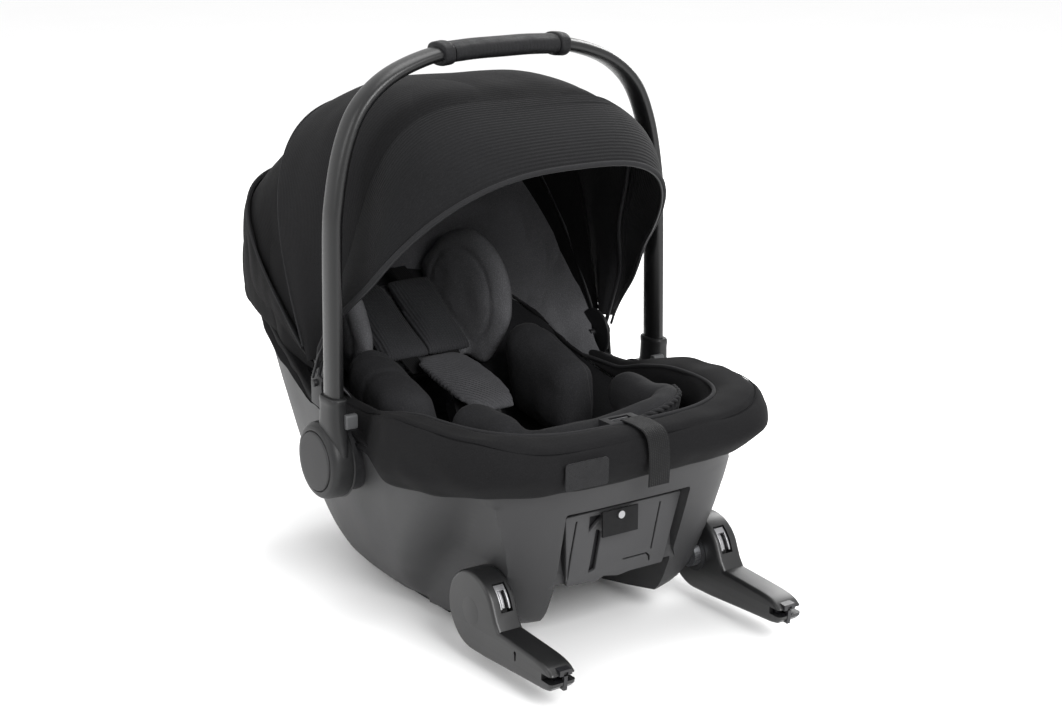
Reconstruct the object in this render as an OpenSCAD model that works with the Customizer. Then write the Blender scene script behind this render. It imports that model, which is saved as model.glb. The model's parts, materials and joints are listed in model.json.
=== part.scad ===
// Infant car seat: a tub shell with a padded cover, a folding carry handle, a folding canopy
// and two swing-out anchor arms with latch jaws.
// Frame: X is across the seat, -Y is the foot end, +Y the head end, +Z up, origin on the floor.

/* [Shell] */
// Half width of the shell at its rim
rim_half_w = 188; // [184:1:190]
// Foot end of the shell at its rim
rim_front_y = -290; // [-294:1:-284]
// Head end of the shell at its rim
rim_back_y = 346; // [340:1:350]
// Wall thickness of the shell
wall = 4; // [3:0.5:6]

/* [Carry handle] */
// Pivot of the handle, along Y
pivot_y = -15; // [-18:1:-12]
// Pivot of the handle, height above the floor
pivot_z = 173; // [170:1:176]
// Plane of the handle tube, along Y
handle_y = -32; // [-34:1:-30]
// Thickness of the oval handle tube, towards the pivot
tube_thin = 15; // [13:0.5:16]
// Width of the oval handle tube, along Y
tube_wide = 30; // [26:1:32]
// Half length of the padded grip
grip_half = 64; // [56:1:66]
// Radius of the round pivot hub
hub_r = 41.5; // [38:0.5:43]
// Inner face of the pivot hub, from the middle plane
hub_in = 197; // [196:0.5:199]
// Outer face of the pivot hub, from the middle plane
hub_out = 222; // [218:1:226]

/* [Canopy] */
// Hinge axis of the canopy, along Y
fold_y = 38; // [34:1:42]
// Hinge axis of the canopy, height above the floor
fold_z = 240; // [238:1:244]
// Radius of the canopy over the middle
dome_r = 314; // [308:1:315]
// Half width of the canopy at its hinges
dome_half_w = 184; // [182:0.5:185]
// Angle of the main bow, from the head end upwards
main_angle = 113; // [108:1:116]
// Angle of the visor's front edge over the middle
visor_angle = 131; // [126:1:134]

/* [Anchor arms] */
// Distance between the middles of the two arms
arm_spacing = 280; // [280:1:280]
// Width of one arm
arm_w = 22; // [20:1:22]
// Pivot of the arms, along Y
arm_y = -212; // [-214:1:-210]
// Pivot of the arms, height above the floor
arm_z = 59; // [57:1:61]
// Radius of the round end of an arm
arm_hub_r = 42; // [40:1:42]
// Radius of the seat for the anchor bar
bar_r = 3.2; // [3.1:0.1:3.4]

/* [Seat] */
// Slope of the backrest, from the floor
back_slope = 34; // [30:1:38]

/* [Hidden] */

charcoal = [0.26, 0.265, 0.27];
dark_grey = [0.16, 0.165, 0.17];
black = [0.07, 0.07, 0.075];
fabric_black = [0.1, 0.1, 0.11];
silver = [0.7, 0.7, 0.72];
steel = [0.5, 0.51, 0.53];
foam_white = [0.9, 0.9, 0.88];

ring_count = 48;       // points in one loop of the shell and its cover
mid_y = -20;           // widest place of the shell, along Y
arm_x = arm_spacing / 2;
ring_angles = [for (j = [0 : ring_count - 1]) 360 * j / ring_count];

// Height profile of the sole, the rim and the seat, as [y, z]
sole_line = [[-290, 44], [-225, 31], [-160, 17], [-105, 7], [-70, 4], [66, 4], [100, 7], [160, 21],
  [220, 38], [300, 66], [350, 80]];
rim_line = [[-290, 212], [-200, 202], [-100, 194], [-30, 202], [50, 221], [100, 243], [200, 270],
  [350, 290]];
crest_line = [[-304, 236], [-250, 250], [-140, 246], [-80, 236], [-30, 225], [58, 226], [100, 252],
  [200, 283], [350, 303]];
seat_line = [[-270, 205], [-200, 176], [-120, 132], [-40, 104], [40, 108], [120, 150], [220, 218],
  [330, 282]];
// Half width, foot end, head end and foot-end squareness of the shell, by height from 0 to 1
shell_w = [[0, 104], [0.03, 117], [0.1, 134], [0.25, 150], [0.5, 168], [0.75, 180], [1, rim_half_w]];
shell_front = [[0, -216], [0.05, -224], [1, rim_front_y]];
shell_back = [[0, 215], [0.05, 240], [0.15, 262], [0.3, 276], [0.6, 303], [0.85, 333], [1, rim_back_y]];
shell_square = [[0, 7], [0.3, 5], [1, 3.6]];
back_round = 2.4;
// Where the cover's lower edge lies on the shell, by y: it is cut back around the handle hubs
skirt_line = [[-300, 0.87], [-110, 0.85], [-88, 0.9], [-72, 0.975], [40, 0.975], [60, 0.95], [350, 0.95]];
skirt_out = [[-300, 9], [-110, 7], [-75, 2], [40, 2], [80, 4], [350, 6]];
bulge_out = [[-300, 15], [-120, 12], [-80, 2], [-45, -8], [350, -9]];

function rounded(v, n) = sign(v) * pow(abs(v), 2 / n);

// Plan of one loop: a superellipse with its own squareness at the foot end
function loop_xy(a, half_w, front, back, square) =
  let (n = cos(a) < 0 ? square : back_round)
  [half_w * rounded(sin(a), n),
   mid_y + (cos(a) < 0 ? mid_y - front : back - mid_y) * rounded(cos(a), n)];

// A point of the shell's outer face at height t, moved outwards by out
function shell_point(a, t, out = 0, scale_in = 1) =
  let (p = loop_xy(a, (lookup(t, shell_w) + out) * scale_in,
         mid_y + (lookup(t, shell_front) - out - mid_y) * scale_in,
         mid_y + (lookup(t, shell_back) + out - mid_y) * scale_in, lookup(t, shell_square)))
  [p[0], p[1], lookup(p[1], sole_line) + (lookup(p[1], rim_line) - lookup(p[1], sole_line)) * t];

// A point of the seating hollow at height t (0 seat, 1 rim), moved outwards by out
function hollow_point(a, t, out = 0, scale_in = 1) =
  let (w = 112 + 42 * pow(t, 0.6), front = -175 - 70 * pow(t, 0.7), back = 190 + 112 * pow(t, 0.8),
       p = loop_xy(a, (w + out) * scale_in, mid_y + (front - out - mid_y) * scale_in,
         mid_y + (back + out - mid_y) * scale_in, 3.4))
  [p[0], p[1], lookup(p[1], seat_line) - out
    + (lookup(p[1], rim_line) + 2 + out - lookup(p[1], seat_line)) * t];

function loop_mean(loop) = [for (k = [0 : 2]) [for (p = loop) p[k]] * [for (p = loop) 1] / len(loop)];

// Solid skinned over closed loops of equal length: wrap joins the last loop to the first
module skin(loops, wrap = false) {
  m = len(loops[0]);
  k = len(loops);
  points = concat([for (l = loops) each l], [loop_mean(loops[0]), loop_mean(loops[k - 1])]);
  sides = [for (i = [0 : wrap ? k - 1 : k - 2], j = [0 : m - 1])
    let (i2 = (i + 1) % k, j2 = (j + 1) % m)
    each [[i * m + j, i * m + j2, i2 * m + j2], [i * m + j, i2 * m + j2, i2 * m + j]]];
  ends = [for (j = [0 : m - 1]) let (j2 = (j + 1) % m)
    each [[m * k, j2, j], [m * k + 1, (k - 1) * m + j, (k - 1) * m + j2]]];
  used = wrap ? [for (l = loops) each l] : points;
  polyhedron(points = used, faces = wrap ? sides : concat(sides, ends), convexity = 8);
}

// A skin whose loops run the other way round
module skin_reversed(loops, wrap = false) {
  skin([for (l = loops) [for (j = [len(l) - 1 : -1 : 0]) l[j]]], wrap);
}

// A cylinder along X
module rod_x(r, x0, x1, y, z) {
  translate([x0, y, z]) rotate([90, 0, 90]) cylinder(r = r, h = x1 - x0, $fn = 64);
}

// A plate outline in the Y-Z plane, from x0 to x1
module slab_x(x0, x1) {
  translate([x0, 0, 0]) rotate([90, 0, 90]) linear_extrude(x1 - x0) children();
}

// A rectangle with round corners, by its middle
module rounded_plate(w, d, r) {
  square([w - 2 * r, d], center = true);
  square([w, d - 2 * r], center = true);
  for (x = [-1, 1], y = [-1, 1]) translate([x * (w / 2 - r), y * (d / 2 - r)]) circle(r = r, $fn = 32);
}

module both_sides() {
  children();
  mirror([1, 0, 0]) children();
}

/* ---------- shell ---------- */

// The sides are cut in at the foot end, where the anchor arms turn and stow
module side_relief(inset = 0) {
  both_sides() {
    slab_x(126 - inset, 260)
      polygon([[-400, -20], [-400, 118 + inset], [-148 + inset, 118 + inset], [-84 + inset, 48 + inset],
        [-58 + inset, 10], [-58 + inset, -20]]);
    translate([126 - inset, 0, 100]) rotate([0, 16, 0])
      slab_x(0, 120) polygon([[-400, 0], [-400, 88], [-212, 88], [-132 + inset, 0]]);
  }
}

// Recess of the front panel, and the open gap between the legs below it
module front_relief(inset = 0) {
  translate([-73.5 - inset, -330, -5]) cube([147 + 2 * inset, 330 - 238 + inset, 159 + inset]);
  slab_x(-73.5 - inset, 73.5 + inset)
    polygon([[-330, -5], [-330, 75 + inset], [-180 + inset, 75 + inset], [-24 + inset, 16 + inset], [-24 + inset, -5]]);
}

module shell_outside() {
  skin(concat(
    [for (s = [0.1, 0.4, 0.7]) [for (a = ring_angles) shell_point(a, 0, 0, s)]],
    [for (t = [0, 0.03, 0.1, 0.25, 0.5, 0.75, 1]) [for (a = ring_angles) shell_point(a, t)]]));
}

module shell_inside() {
  skin(concat(
    [for (s = [0.1, 0.4, 0.7]) [for (a = ring_angles) shell_point(a, 0.05, -wall, s)]],
    [for (t = [0.05, 0.1, 0.25, 0.5, 0.75, 1, 1.1]) [for (a = ring_angles) shell_point(a, t, -wall)]]));
}

module seat_shell() color(charcoal) difference() {
  shell_outside();
  side_relief();
  front_relief();
  difference() {
    shell_inside();
    side_relief(wall);
    front_relief(wall);
  }
  // Bores of the arm shafts and of the handle's pivot bolts
  both_sides() {
    rod_x(14.3, 110, 140, arm_y, arm_z);
    rod_x(14, 150, 200, pivot_y, pivot_z);
  }
}

// Bearing rings of the arm shafts
module arm_bearings() color(black) both_sides() difference() {
  rod_x(20, 126.1, 128.6, arm_y, arm_z);
  rod_x(14.08, 120, 135, arm_y, arm_z);
}

// Ribbed panel in the front recess
module front_panel() color(dark_grey) difference() {
  union() {
    hull() {
      translate([-73, -256, 150]) cube([146, 17, 3]);
      translate([-60, -242, 76]) cube([120, 3.5, 3]);
    }
    for (x = [-56 : 8 : 56]) hull() {
      translate([x - 1.2, -259, 146]) cube([2.4, 4, 2]);
      translate([x * 0.84 - 1.2, -246, 80]) cube([2.4, 5, 2]);
    }
  }
  translate([-18, -270, 104]) cube([36, 60, 24]);
}

// Small webbing pull tab below the rim
module panel_tab() color(black) translate([-32, -263.6, 126]) cube([44, 2.2, 27]);

module tab_rivet() color(silver) translate([-10, -265.7, 147]) rotate([-90, 0, 0]) {
  cylinder(r = 4, h = 2, $fn = 32);
  cylinder(r = 1.4, h = 6, $fn = 32);
}

plate_spots = [for (x = [-62, 62], y = [-4, 46]) [x, y]];

// Flat plate under the shell that the seat stands on
module belly_plate() color(dark_grey) difference() {
  union() {
    translate([-74, -14, 0]) cube([148, 70, 4]);
    for (q = plate_spots) translate([q[0], q[1], 3.9]) cylinder(r = 5, h = 6, $fn = 32);
  }
  for (q = plate_spots) translate([q[0], q[1], -1]) {
    cylinder(r = 2.1, h = 20, $fn = 32);
    cylinder(r = 4.2, h = 3.4, $fn = 32);
  }
}

module belly_screws() color(steel)
  for (q = plate_spots) translate([q[0], q[1], 0.4]) {
    cylinder(r = 4, h = 1.9, $fn = 32);
    cylinder(r = 2, h = 9, $fn = 32);
  }

// Two rails along the sole that the seat stands on with the plate
module floor_rails() color(dark_grey) both_sides() translate([80, -86, 0]) cube([24, 150, 4]);

// Expanded-foam liner between the shell and the cover
module foam_liner() color(foam_white) difference() {
  skin(concat(
    [for (s = [0.3, 0.65]) [for (a = ring_angles) shell_point(a, 0.36, -wall - 1, s)]],
    [for (t = [0.36, 0.6, 0.94]) [for (a = ring_angles) shell_point(a, t, -wall - 1)]],
    [for (t = [1, 0.7, 0.4, 0.15, 0]) [for (a = ring_angles) hollow_point(a, t)]],
    [for (s = [0.7, 0.35]) [for (a = ring_angles) hollow_point(a, 0, 0, s)]]));
  side_relief(wall + 1);
  front_relief(wall + 1);
  both_sides() rod_x(15, 165, 200, pivot_y, pivot_z);
}

/* ---------- cover and padding ---------- */

// Thin fabric lining of the seating hollow
module seat_cover() color(fabric_black)
  skin(concat(
    [for (s = [0.35, 0.7]) [for (a = ring_angles) hollow_point(a, 0, -0.6, s)]],
    [for (t = [0, 0.15, 0.4, 0.7, 1]) [for (a = ring_angles) hollow_point(a, t, -0.6)]],
    [for (t = [1, 0.7, 0.4, 0.15, 0]) [for (a = ring_angles) hollow_point(a, t, -4)]],
    [for (s = [0.7, 0.35]) [for (a = ring_angles) hollow_point(a, 0, -4, s)]]));

// Loop of the rim cover, moved out from the shell's rim, at a height over the rim or the crest
function rim_loop(out, out_line, lift, over_crest, square) = [for (a = ring_angles)
  let (p0 = loop_xy(a, rim_half_w, rim_front_y, rim_back_y, square),
       o = out + lookup(p0[1], out_line),
       p = loop_xy(a, rim_half_w + o, rim_front_y - o, rim_back_y + o, square))
  [p[0], p[1], lift + lookup(p[1], over_crest ? crest_line : rim_line)]];

// Loop of the rim cover's skirt, on the outside of the shell
function skirt_loop(spread) = [for (a = ring_angles)
  let (y0 = shell_point(a, 0.9)[1])
  shell_point(a, lookup(y0, skirt_line), 0.8 + spread * lookup(y0, skirt_out))];

// Padded rim of the cover, hooked over the edge of the shell
module rim_cover() color(fabric_black)
  skin([
    skirt_loop(0), skirt_loop(1),
    rim_loop(0, bulge_out, 3, false, 5),
    rim_loop(-7, bulge_out, -5, true, 5),
    rim_loop(-19, bulge_out, 0, true, 4.6),
    rim_loop(-34, [[-300, 8], [-60, 0], [350, -2]], -8, true, 4),
    rim_loop(-36, [[-300, 4], [-60, 0], [350, 0]], 5, false, 3.6),
    rim_loop(-8, [[0, 0]], 3.5, false, 3.6),
    rim_loop(1.2, [[0, 0]], 2.5, false, 3.6)], true);

// Crowned strip of padding through stations of [y, z, half width, thickness]
module pad_strip(stations)
  skin([for (q = stations)
    [for (e = [[-0.92, 0], [-1, 0.45], [-0.85, 0.85], [0, 1], [0.85, 0.85], [1, 0.45], [0.92, 0]])
      [e[0] * q[2], q[0], q[1] + e[1] * q[3]]]]);

// Long seat pad that follows the seat and the backrest
module seat_cushion() color(fabric_black)
  pad_strip([for (k = [0 : 7]) let (y = -150 + 52 * k)
    [y, lookup(y, seat_line) + 6, k == 0 ? 70 : k == 7 ? 66 : 82, 13]]);

// Padded rolls on both sides of the child's hips and legs
module side_bolsters() color(fabric_black) both_sides() hull() {
  translate([104, 68, 226]) sphere(r = 29, $fn = 24);
  translate([104, -12, 206]) sphere(r = 27, $fn = 24);
  translate([102, 58, 172]) sphere(r = 24, $fn = 24);
  translate([100, -30, 160]) sphere(r = 22, $fn = 24);
}

// Saddle-shaped pad under the legs: a low middle at the foot end and a hump on each side
module thigh_pad() color(fabric_black) {
  hull() both_sides() {
    translate([66, -208, 208]) sphere(r = 14, $fn = 20);
    translate([62, -152, 188]) sphere(r = 20, $fn = 20);
  }
  both_sides() hull() {
    translate([96, -188, 221]) sphere(r = 22, $fn = 20);
    translate([98, -130, 221]) sphere(r = 24, $fn = 20);
  }
}

// Frame of the backrest: local X across, local Y up the slope, local Z out of it
module on_back(up, out) {
  translate([0, 96, 148]) rotate([back_slope, 0, 0]) translate([0, up, out]) children();
}

headrest_up = 122;     // middle of the headrest, up the slope of the back

module headrest_frame() color(dark_grey) on_back(headrest_up, 10) {
  translate([-56, -58, 1.6]) cube([112, 118, 3.2]);
  // Ribs that stiffen the plate from behind the wings
  both_sides() translate([56, -50, 1.6]) cube([6, 104, 2.4]);
}

module headrest_cushion() color(fabric_black) on_back(headrest_up, 14) {
  hull() both_sides() translate([50, 0, 0]) for (y = [-48, 60]) translate([0, y, 8]) sphere(r = 9, $fn = 20);
  both_sides() hull() {
    for (y = [-50, 60]) translate([72, y, 14]) sphere(r = 13, $fn = 20);
    for (y = [-44, 44]) translate([92, y, 94]) sphere(r = 13, $fn = 20);
  }
}

// Harness webbing over one shoulder
module shoulder_strap(side) color(black) hull() {
  translate([side * 33 - 11, 244, 293]) cube([22, 2, 2]);
  translate([side * 25 - 11, 98, 208]) cube([22, 2, 2]);
}

// Padded sleeve over one shoulder strap
module shoulder_pad(side) color(fabric_black) hull() for (x = [-19, 19]) {
  translate([side * 34 + x, 225, 284]) sphere(r = 6, $fn = 20);
  translate([side * 28 + x, 122, 224]) sphere(r = 6, $fn = 20);
}
module shoulder_strap_left() shoulder_strap(-1);
module shoulder_strap_right() shoulder_strap(1);
module shoulder_pad_left() shoulder_pad(-1);
module shoulder_pad_right() shoulder_pad(1);

module crotch_strap() color(black) hull() {
  translate([-17, -46, 125]) cube([34, 2, 2]);
  translate([-17, 0, 159]) cube([34, 2, 2]);
}

// Pad that covers the buckle strap
module crotch_pad() color(fabric_black)
  pad_strip([[-26, 188, 22, 8], [-14, 193, 31, 12], [22, 202, 37, 14], [62, 210, 37, 14], [92, 217, 33, 12],
    [102, 220, 25, 8]]);

module buckle_body() color(dark_grey) translate([0, 22, 174]) rotate([60, 0, 0]) difference() {
  translate([0, 0, -10]) linear_extrude(20) rounded_plate(56, 48, 8);
  translate([-13, -14, 1.8]) cube([26, 26, 14.2]);
}

module buckle_button() color([0.7, 0.08, 0.07]) translate([0, 22, 174]) rotate([60, 0, 0])
  translate([-12.5, -13.5, 5]) cube([25, 25, 7]);

// Harness adjuster at the foot end: housing, cam lever and free strap end
module adjuster_housing() color(dark_grey) difference() {
  translate([-20, -268, 234]) cube([40, 30, 8]);
  translate([-12, -264, 236]) cube([24, 22, 10]);
}

module adjuster_lever() color(silver) translate([0, -244, 239]) {
  rod_x(1.8, -11.5, 11.5, 0, 0);
  translate([-11, -18, -1]) cube([22, 18, 2]);
}

module adjuster_strap() color(black) {
  slab_x(-13, 13) polygon([[-310, 188], [-307.4, 188], [-307.4, 232], [-300, 243], [-262, 244.5],
    [-262, 246], [-301, 245], [-310, 233]]);
}

module trim_patch() color(dark_grey) hull() for (x = [-104, -62], z = [206, 226])
  translate([x, -306 - (z - 206) * 0.02 + (x < -80 ? 1.2 : 0), z]) rotate([90, 0, 0]) cylinder(r = 4, h = 1.4, $fn = 32);

/* ---------- carry handle ---------- */

// Boss of the handle pivot, fixed to the shell
module pivot_bracket(side) color(dark_grey) difference() {
  union() {
    rod_x(37, side > 0 ? 180 : -196, side > 0 ? 196 : -180, pivot_y, pivot_z);
    // Toothed detent ring that the hub's button locks into
    for (k = [0 : 11]) translate([side * 196.2, pivot_y, pivot_z]) rotate([30 * k, 0, 0])
      translate([-0.4, -2, 26]) cube([0.8, 4, 8]);
  }
  rod_x(8.05, -230, 230, pivot_y, pivot_z);
}
module pivot_bracket_left() pivot_bracket(-1);
module pivot_bracket_right() pivot_bracket(1);

module pivot_bolt(side) color(steel) {
  rod_x(8, side > 0 ? 178 : -219, side > 0 ? 219 : -178, pivot_y, pivot_z);
  rod_x(13, side > 0 ? 174 : -178, side > 0 ? 178 : -174, pivot_y, pivot_z);
}
module pivot_bolt_left() pivot_bolt(-1);
module pivot_bolt_right() pivot_bolt(1);

// Middle line of the handle from one socket to the top, as [x, z]
handle_points = [[207.5, 215], [206.6, 270], [204, 404], [200, 450], [189, 500], [170, 540], [137, 568],
  [90, 585], [45, 589.5], [0, 590]];
handle_line = concat(handle_points, [for (k = [len(handle_points) - 2 : -1 : 0])
  [-handle_points[k][0], handle_points[k][1]]]);

// Smooth curve through points: part s of the way from point i to the next
function between(points, i, s) =
  let (n = len(points) - 1, a = points[max(i - 1, 0)], b = points[i], c = points[min(i + 1, n)],
       d = points[min(i + 2, n)])
  0.5 * (2 * b + (c - a) * s + (2 * a - 5 * b + 4 * c - d) * s * s + (3 * b - a - 3 * c + d) * s * s * s);

function smooth(points, steps) = concat(
  [for (i = [0 : len(points) - 2], k = [0 : steps - 1]) between(points, i, k / steps)], [points[len(points) - 1]]);

function heading(points, i) =
  let (d = points[min(i + 1, len(points) - 1)] - points[max(i - 1, 0)]) d / norm(d);

// Oval sections along a line in the plane of the handle
function handle_loops(line, thin, wide) = [for (i = [0 : len(line) - 1])
  let (h = heading(line, i))
  [for (k = [0 : tube_sides - 1]) let (a = 360 * k / tube_sides)
    [line[i][0] + h[1] * thin / 2 * cos(a), handle_y + wide / 2 * sin(a),
     line[i][1] - h[0] * thin / 2 * cos(a)]]];

// Hollow sleeve around the tube, over a stretch of its line
module handle_sleeve(line, extra) {
  outer = handle_loops(line, tube_thin + extra, tube_wide + extra);
  inner = handle_loops(line, tube_thin + 0.6, tube_wide + 0.6);
  skin(concat(outer, [for (i = [len(inner) - 1 : -1 : 0]) inner[i]]), true);
}

tube_sides = 20;
handle_curve = smooth(handle_line, 3);
top_curve = [for (p = smooth(handle_line, 14)) if (abs(p[0]) < 92) p];
collar_w = 14;         // length of the raised ring at each end of the grip

module handle_tube() color(charcoal) skin(handle_loops(handle_curve, tube_thin, tube_wide));

module handle_grip() color(black)
  handle_sleeve([for (p = top_curve) if (abs(p[0]) <= grip_half) p], 6);

// Raised end rings of the grip
module grip_collars() color(black) both_sides()
  handle_sleeve([for (p = top_curve) if (p[0] > grip_half + 0.4 && p[0] < grip_half + collar_w) p], 10);

neck_w = 36;           // width of the tube socket along Y
neck_top = 243;        // height of the socket's lip
socket_z = 214;        // bottom of the socket

// Pivot housing with the socket for the tube; it turns on the pivot bolt
module handle_hub(side) color(charcoal) difference() {
  union() {
    rod_x(hub_r, side > 0 ? hub_in : -hub_out, side > 0 ? hub_out : -hub_in, pivot_y, pivot_z);
    slab_x(side > 0 ? hub_in : -218, side > 0 ? 218 : -hub_in)
      polygon([[handle_y - neck_w / 2, neck_top], [handle_y - neck_w / 2, 205], [pivot_y - hub_r + 0.6, 178],
        [pivot_y + 34, 196], [handle_y + neck_w / 2 + 6, 214], [handle_y + neck_w / 2, neck_top]]);
  }
  rod_x(8.1, -230, 230, pivot_y, pivot_z);
  // Socket of the tube
  translate([side * 207.5, handle_y, socket_z]) rotate([0, side * -0.9, 0]) linear_extrude(60)
    polygon([for (k = [0 : tube_sides - 1]) let (a = 360 * k / tube_sides)
      [(tube_thin + 1) / 2 * cos(a), (tube_wide + 1) / 2 * sin(a)]]);
  // Seat of the round cap
  rod_x(32, side > 0 ? hub_out - 2 : -hub_out - 5, side > 0 ? hub_out + 5 : -hub_out + 2, pivot_y, pivot_z);
  // Guide of the release button
  translate([side * 204, -51.2, 222]) cube([30, 9, 17], center = true);
}
module handle_hub_left() handle_hub(-1);
module handle_hub_right() handle_hub(1);

module hub_cap(side) color(dark_grey)
  rod_x(31.5, side > 0 ? hub_out - 1.8 : -hub_out - 1.6, side > 0 ? hub_out + 1.6 : -hub_out + 1.8, pivot_y, pivot_z);
module hub_cap_left() hub_cap(-1);
module hub_cap_right() hub_cap(1);

// Release button on the inner front of each hub; it is pressed away from the middle
module handle_button(side) color([0.45, 0.46, 0.48]) translate([side * 198.5, -51.2, 222])
  rotate([0, 90, 0]) translate([0, 0, -7]) linear_extrude(14) rounded_plate(16, 8, 3.5);
module handle_button_left() handle_button(-1);
module handle_button_right() handle_button(1);

/* ---------- canopy ---------- */

// Outline of the canopy across the seat at u from -1 to 1, as [distance from the hinge axis, x]
function dome_outline(u, out = 0) =
  let (a = 90 * u)
  [(dome_r + out) * rounded(cos(a), 3.8), (dome_half_w + out) * rounded(sin(a), 3.8)];

dome_u = [for (k = [-14 : 14]) 0.985 * k / 14];
least_r = 62;          // the fabric stops this far from the hinge axis

// A strip of canopy fabric turned about the hinge axis from one angle to another
module dome_strip(from_angle, to_angle, out, thick) {
  translate([0, fold_y, fold_z]) rotate([from_angle, 0, 0]) rotate([90, 0, 90])
    rotate_extrude(angle = to_angle - from_angle, $fn = 96)
      intersection() {
        polygon(concat([for (u = dome_u) dome_outline(u, out)],
          [for (k = [len(dome_u) - 1 : -1 : 0]) dome_outline(dome_u[k], out - thick)]));
        translate([least_r, -300]) square([400, 600]);
      }
}

// A bent wire bow at one angle
module bow(angle, bow_r, wire, half_w) {
  line = [for (k = [-16 : 16]) let (a = 86.5 * k / 16)
    [bow_r * rounded(cos(a), 3.8), half_w * rounded(sin(a), 3.8)]];
  translate([0, fold_y, fold_z]) rotate([angle, 0, 0])
    skin_reversed([for (i = [0 : len(line) - 1]) let (h = heading(line, i))
      [for (k = [0 : 7]) let (a = 45 * k)
        [line[i][1] - h[0] * wire * cos(a), line[i][0] + h[1] * wire * cos(a), wire * sin(a)]]]);
}

// Flat arm from the hinge pin to the foot of a bow
module bow_arm(angle, x0, x1) both_sides() difference() {
  union() {
    rod_x(11, x0, x1, fold_y, fold_z);
    translate([0, fold_y, fold_z]) rotate([angle, 0, 0]) translate([x0, 4, -5]) cube([x1 - x0, 76, 10]);
  }
  rod_x(4.08, x0 - 5, x1 + 5, fold_y, fold_z);
}

// Hinge pins of the canopy on their fixed clips
module canopy_pins() color(dark_grey) both_sides() {
  rod_x(4, 168, 194.4, fold_y, fold_z);
  rod_x(12, 186.6, 190, fold_y, fold_z);
  slab_x(186.6, 190) polygon([[fold_y - 11, fold_z], [fold_y + 11, fold_z], [fold_y + 12, 216], [fold_y - 14, 212]]);
}

rear_angle = 60;       // angle of the fixed rear bow
skirt_angle = 10;      // angle of the canopy's lower edge
pleat_angle = 33;      // angle of the seam between the rear panel and the skirt

module canopy_bow_rear() color(dark_grey) {
  bow(rear_angle, dome_r - 6, 2.6, dome_half_w - 10.5);
  bow_arm(rear_angle, 169, 172.5);
}
module canopy_rear_panel() color(fabric_black) dome_strip(pleat_angle + 0.1, rear_angle + 2, 3.4, 2.2);
module canopy_skirt() color(fabric_black) dome_strip(skirt_angle, pleat_angle, 3.4, 2.2);

module canopy_bow_main() color(dark_grey) {
  bow(main_angle - 1, dome_r - 6, 2.6, dome_half_w - 6);
  bow_arm(main_angle - 1, 174, 177.5);
}
module canopy_main_panel() color(fabric_black) dome_strip(rear_angle, main_angle, 0, 2.4);

// Crescent of the visor: its front edge is furthest forward over the middle
function visor_edge(u) = main_angle - 1 + (visor_angle - main_angle + 1) * (1 - pow(abs(u), 3));

function visor_point(u, s, out) =
  let (o = dome_outline(u, out), a = main_angle - 1 + (visor_edge(u) - main_angle + 1) * s)
  [o[1], fold_y + o[0] * cos(a), fold_z + o[0] * sin(a)];

module canopy_visor_panel() color(fabric_black)
  skin([for (k = [-13 : 13]) let (u = 0.97 * k / 14)
    [visor_point(u, 0, 3.6), visor_point(u, 0.5, 3.6), visor_point(u, 1, 3.6),
     visor_point(u, 1, 1.3), visor_point(u, 0.5, 1.3), visor_point(u, 0, 1.3)]]);

// Piped wire in the visor's front edge
module visor_wire()
  skin_reversed([for (k = [-13 : 13]) let (u = 0.96 * k / 14, c = visor_point(u, 1, 2.4), a = visor_edge(u))
    [for (q = [0 : 7]) let (b = 45 * q, side = 2.2 * cos(b), ahead = 2.6 + 2.2 * sin(b))
      [c[0] + side * sin(90 * u), c[1] + side * cos(90 * u) * cos(a) - ahead * sin(a),
       c[2] + side * cos(90 * u) * sin(a) + ahead * cos(a)]]]);

module canopy_bow_visor() color(dark_grey) {
  visor_wire();
  both_sides() difference() {
    union() {
      rod_x(11, 190.4, 193, fold_y, fold_z);
      translate([0, fold_y, fold_z]) rotate([118, 0, 0]) translate([190.4, 4, -5]) cube([2.6, 126, 10]);
      translate([0, fold_y, fold_z]) rotate([118, 0, 0]) translate([184.8, 118, -1]) cube([8.2, 12, 6]);
    }
    rod_x(4.08, 185, 200, fold_y, fold_z);
  }
}

/* ---------- anchor arms ---------- */

module arm_outline(inset = 0) {
  translate([arm_y, arm_z]) circle(r = arm_hub_r - inset, $fn = 96);
  polygon([[arm_y - 24, arm_z + 22 - inset], [-262, 52.5 - inset], [-336, 49 - inset], [-336, 22.5 + inset],
    [-256, 20 + inset], [arm_y - 10, arm_z - arm_hub_r + 2 + inset]]);
}

// Shaft that carries one arm in the shell
module arm_shaft(side) color(steel) rod_x(14, side > 0 ? 118 : -150, side > 0 ? 150 : -118, arm_y, arm_z);
module arm_shaft_left() arm_shaft(-1);
module arm_shaft_right() arm_shaft(1);

// Plastic casing of one arm
module arm_casing(side) color(dark_grey) difference() {
  slab_x(side * arm_x - arm_w / 2, side * arm_x + arm_w / 2) arm_outline();
  slab_x(side * arm_x - 8, side * arm_x + 8) polygon([[-232, 49.5], [-340, 46.5], [-340, 25], [-232, 24]]);
  rod_x(14.05, -160, 160, arm_y, arm_z);
  // Pocket of the release lever
  slab_x(side * arm_x - 7, side * arm_x + 7) intersection() {
    difference() {
      translate([arm_y, arm_z]) circle(r = arm_hub_r + 2, $fn = 96);
      translate([arm_y, arm_z]) circle(r = arm_hub_r - 12, $fn = 96);
    }
    translate([-270, 47]) square([44, 48]);
  }
  // Slot that the claw swings down through
  slab_x(side * arm_x - 2.6, side * arm_x + 2.6) translate([-345, 10]) square([39, 20]);
}
module arm_casing_left() arm_casing(-1);
module arm_casing_right() arm_casing(1);

bar_y = -344;          // middle of the latched anchor bar
bar_z = 36;

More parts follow.
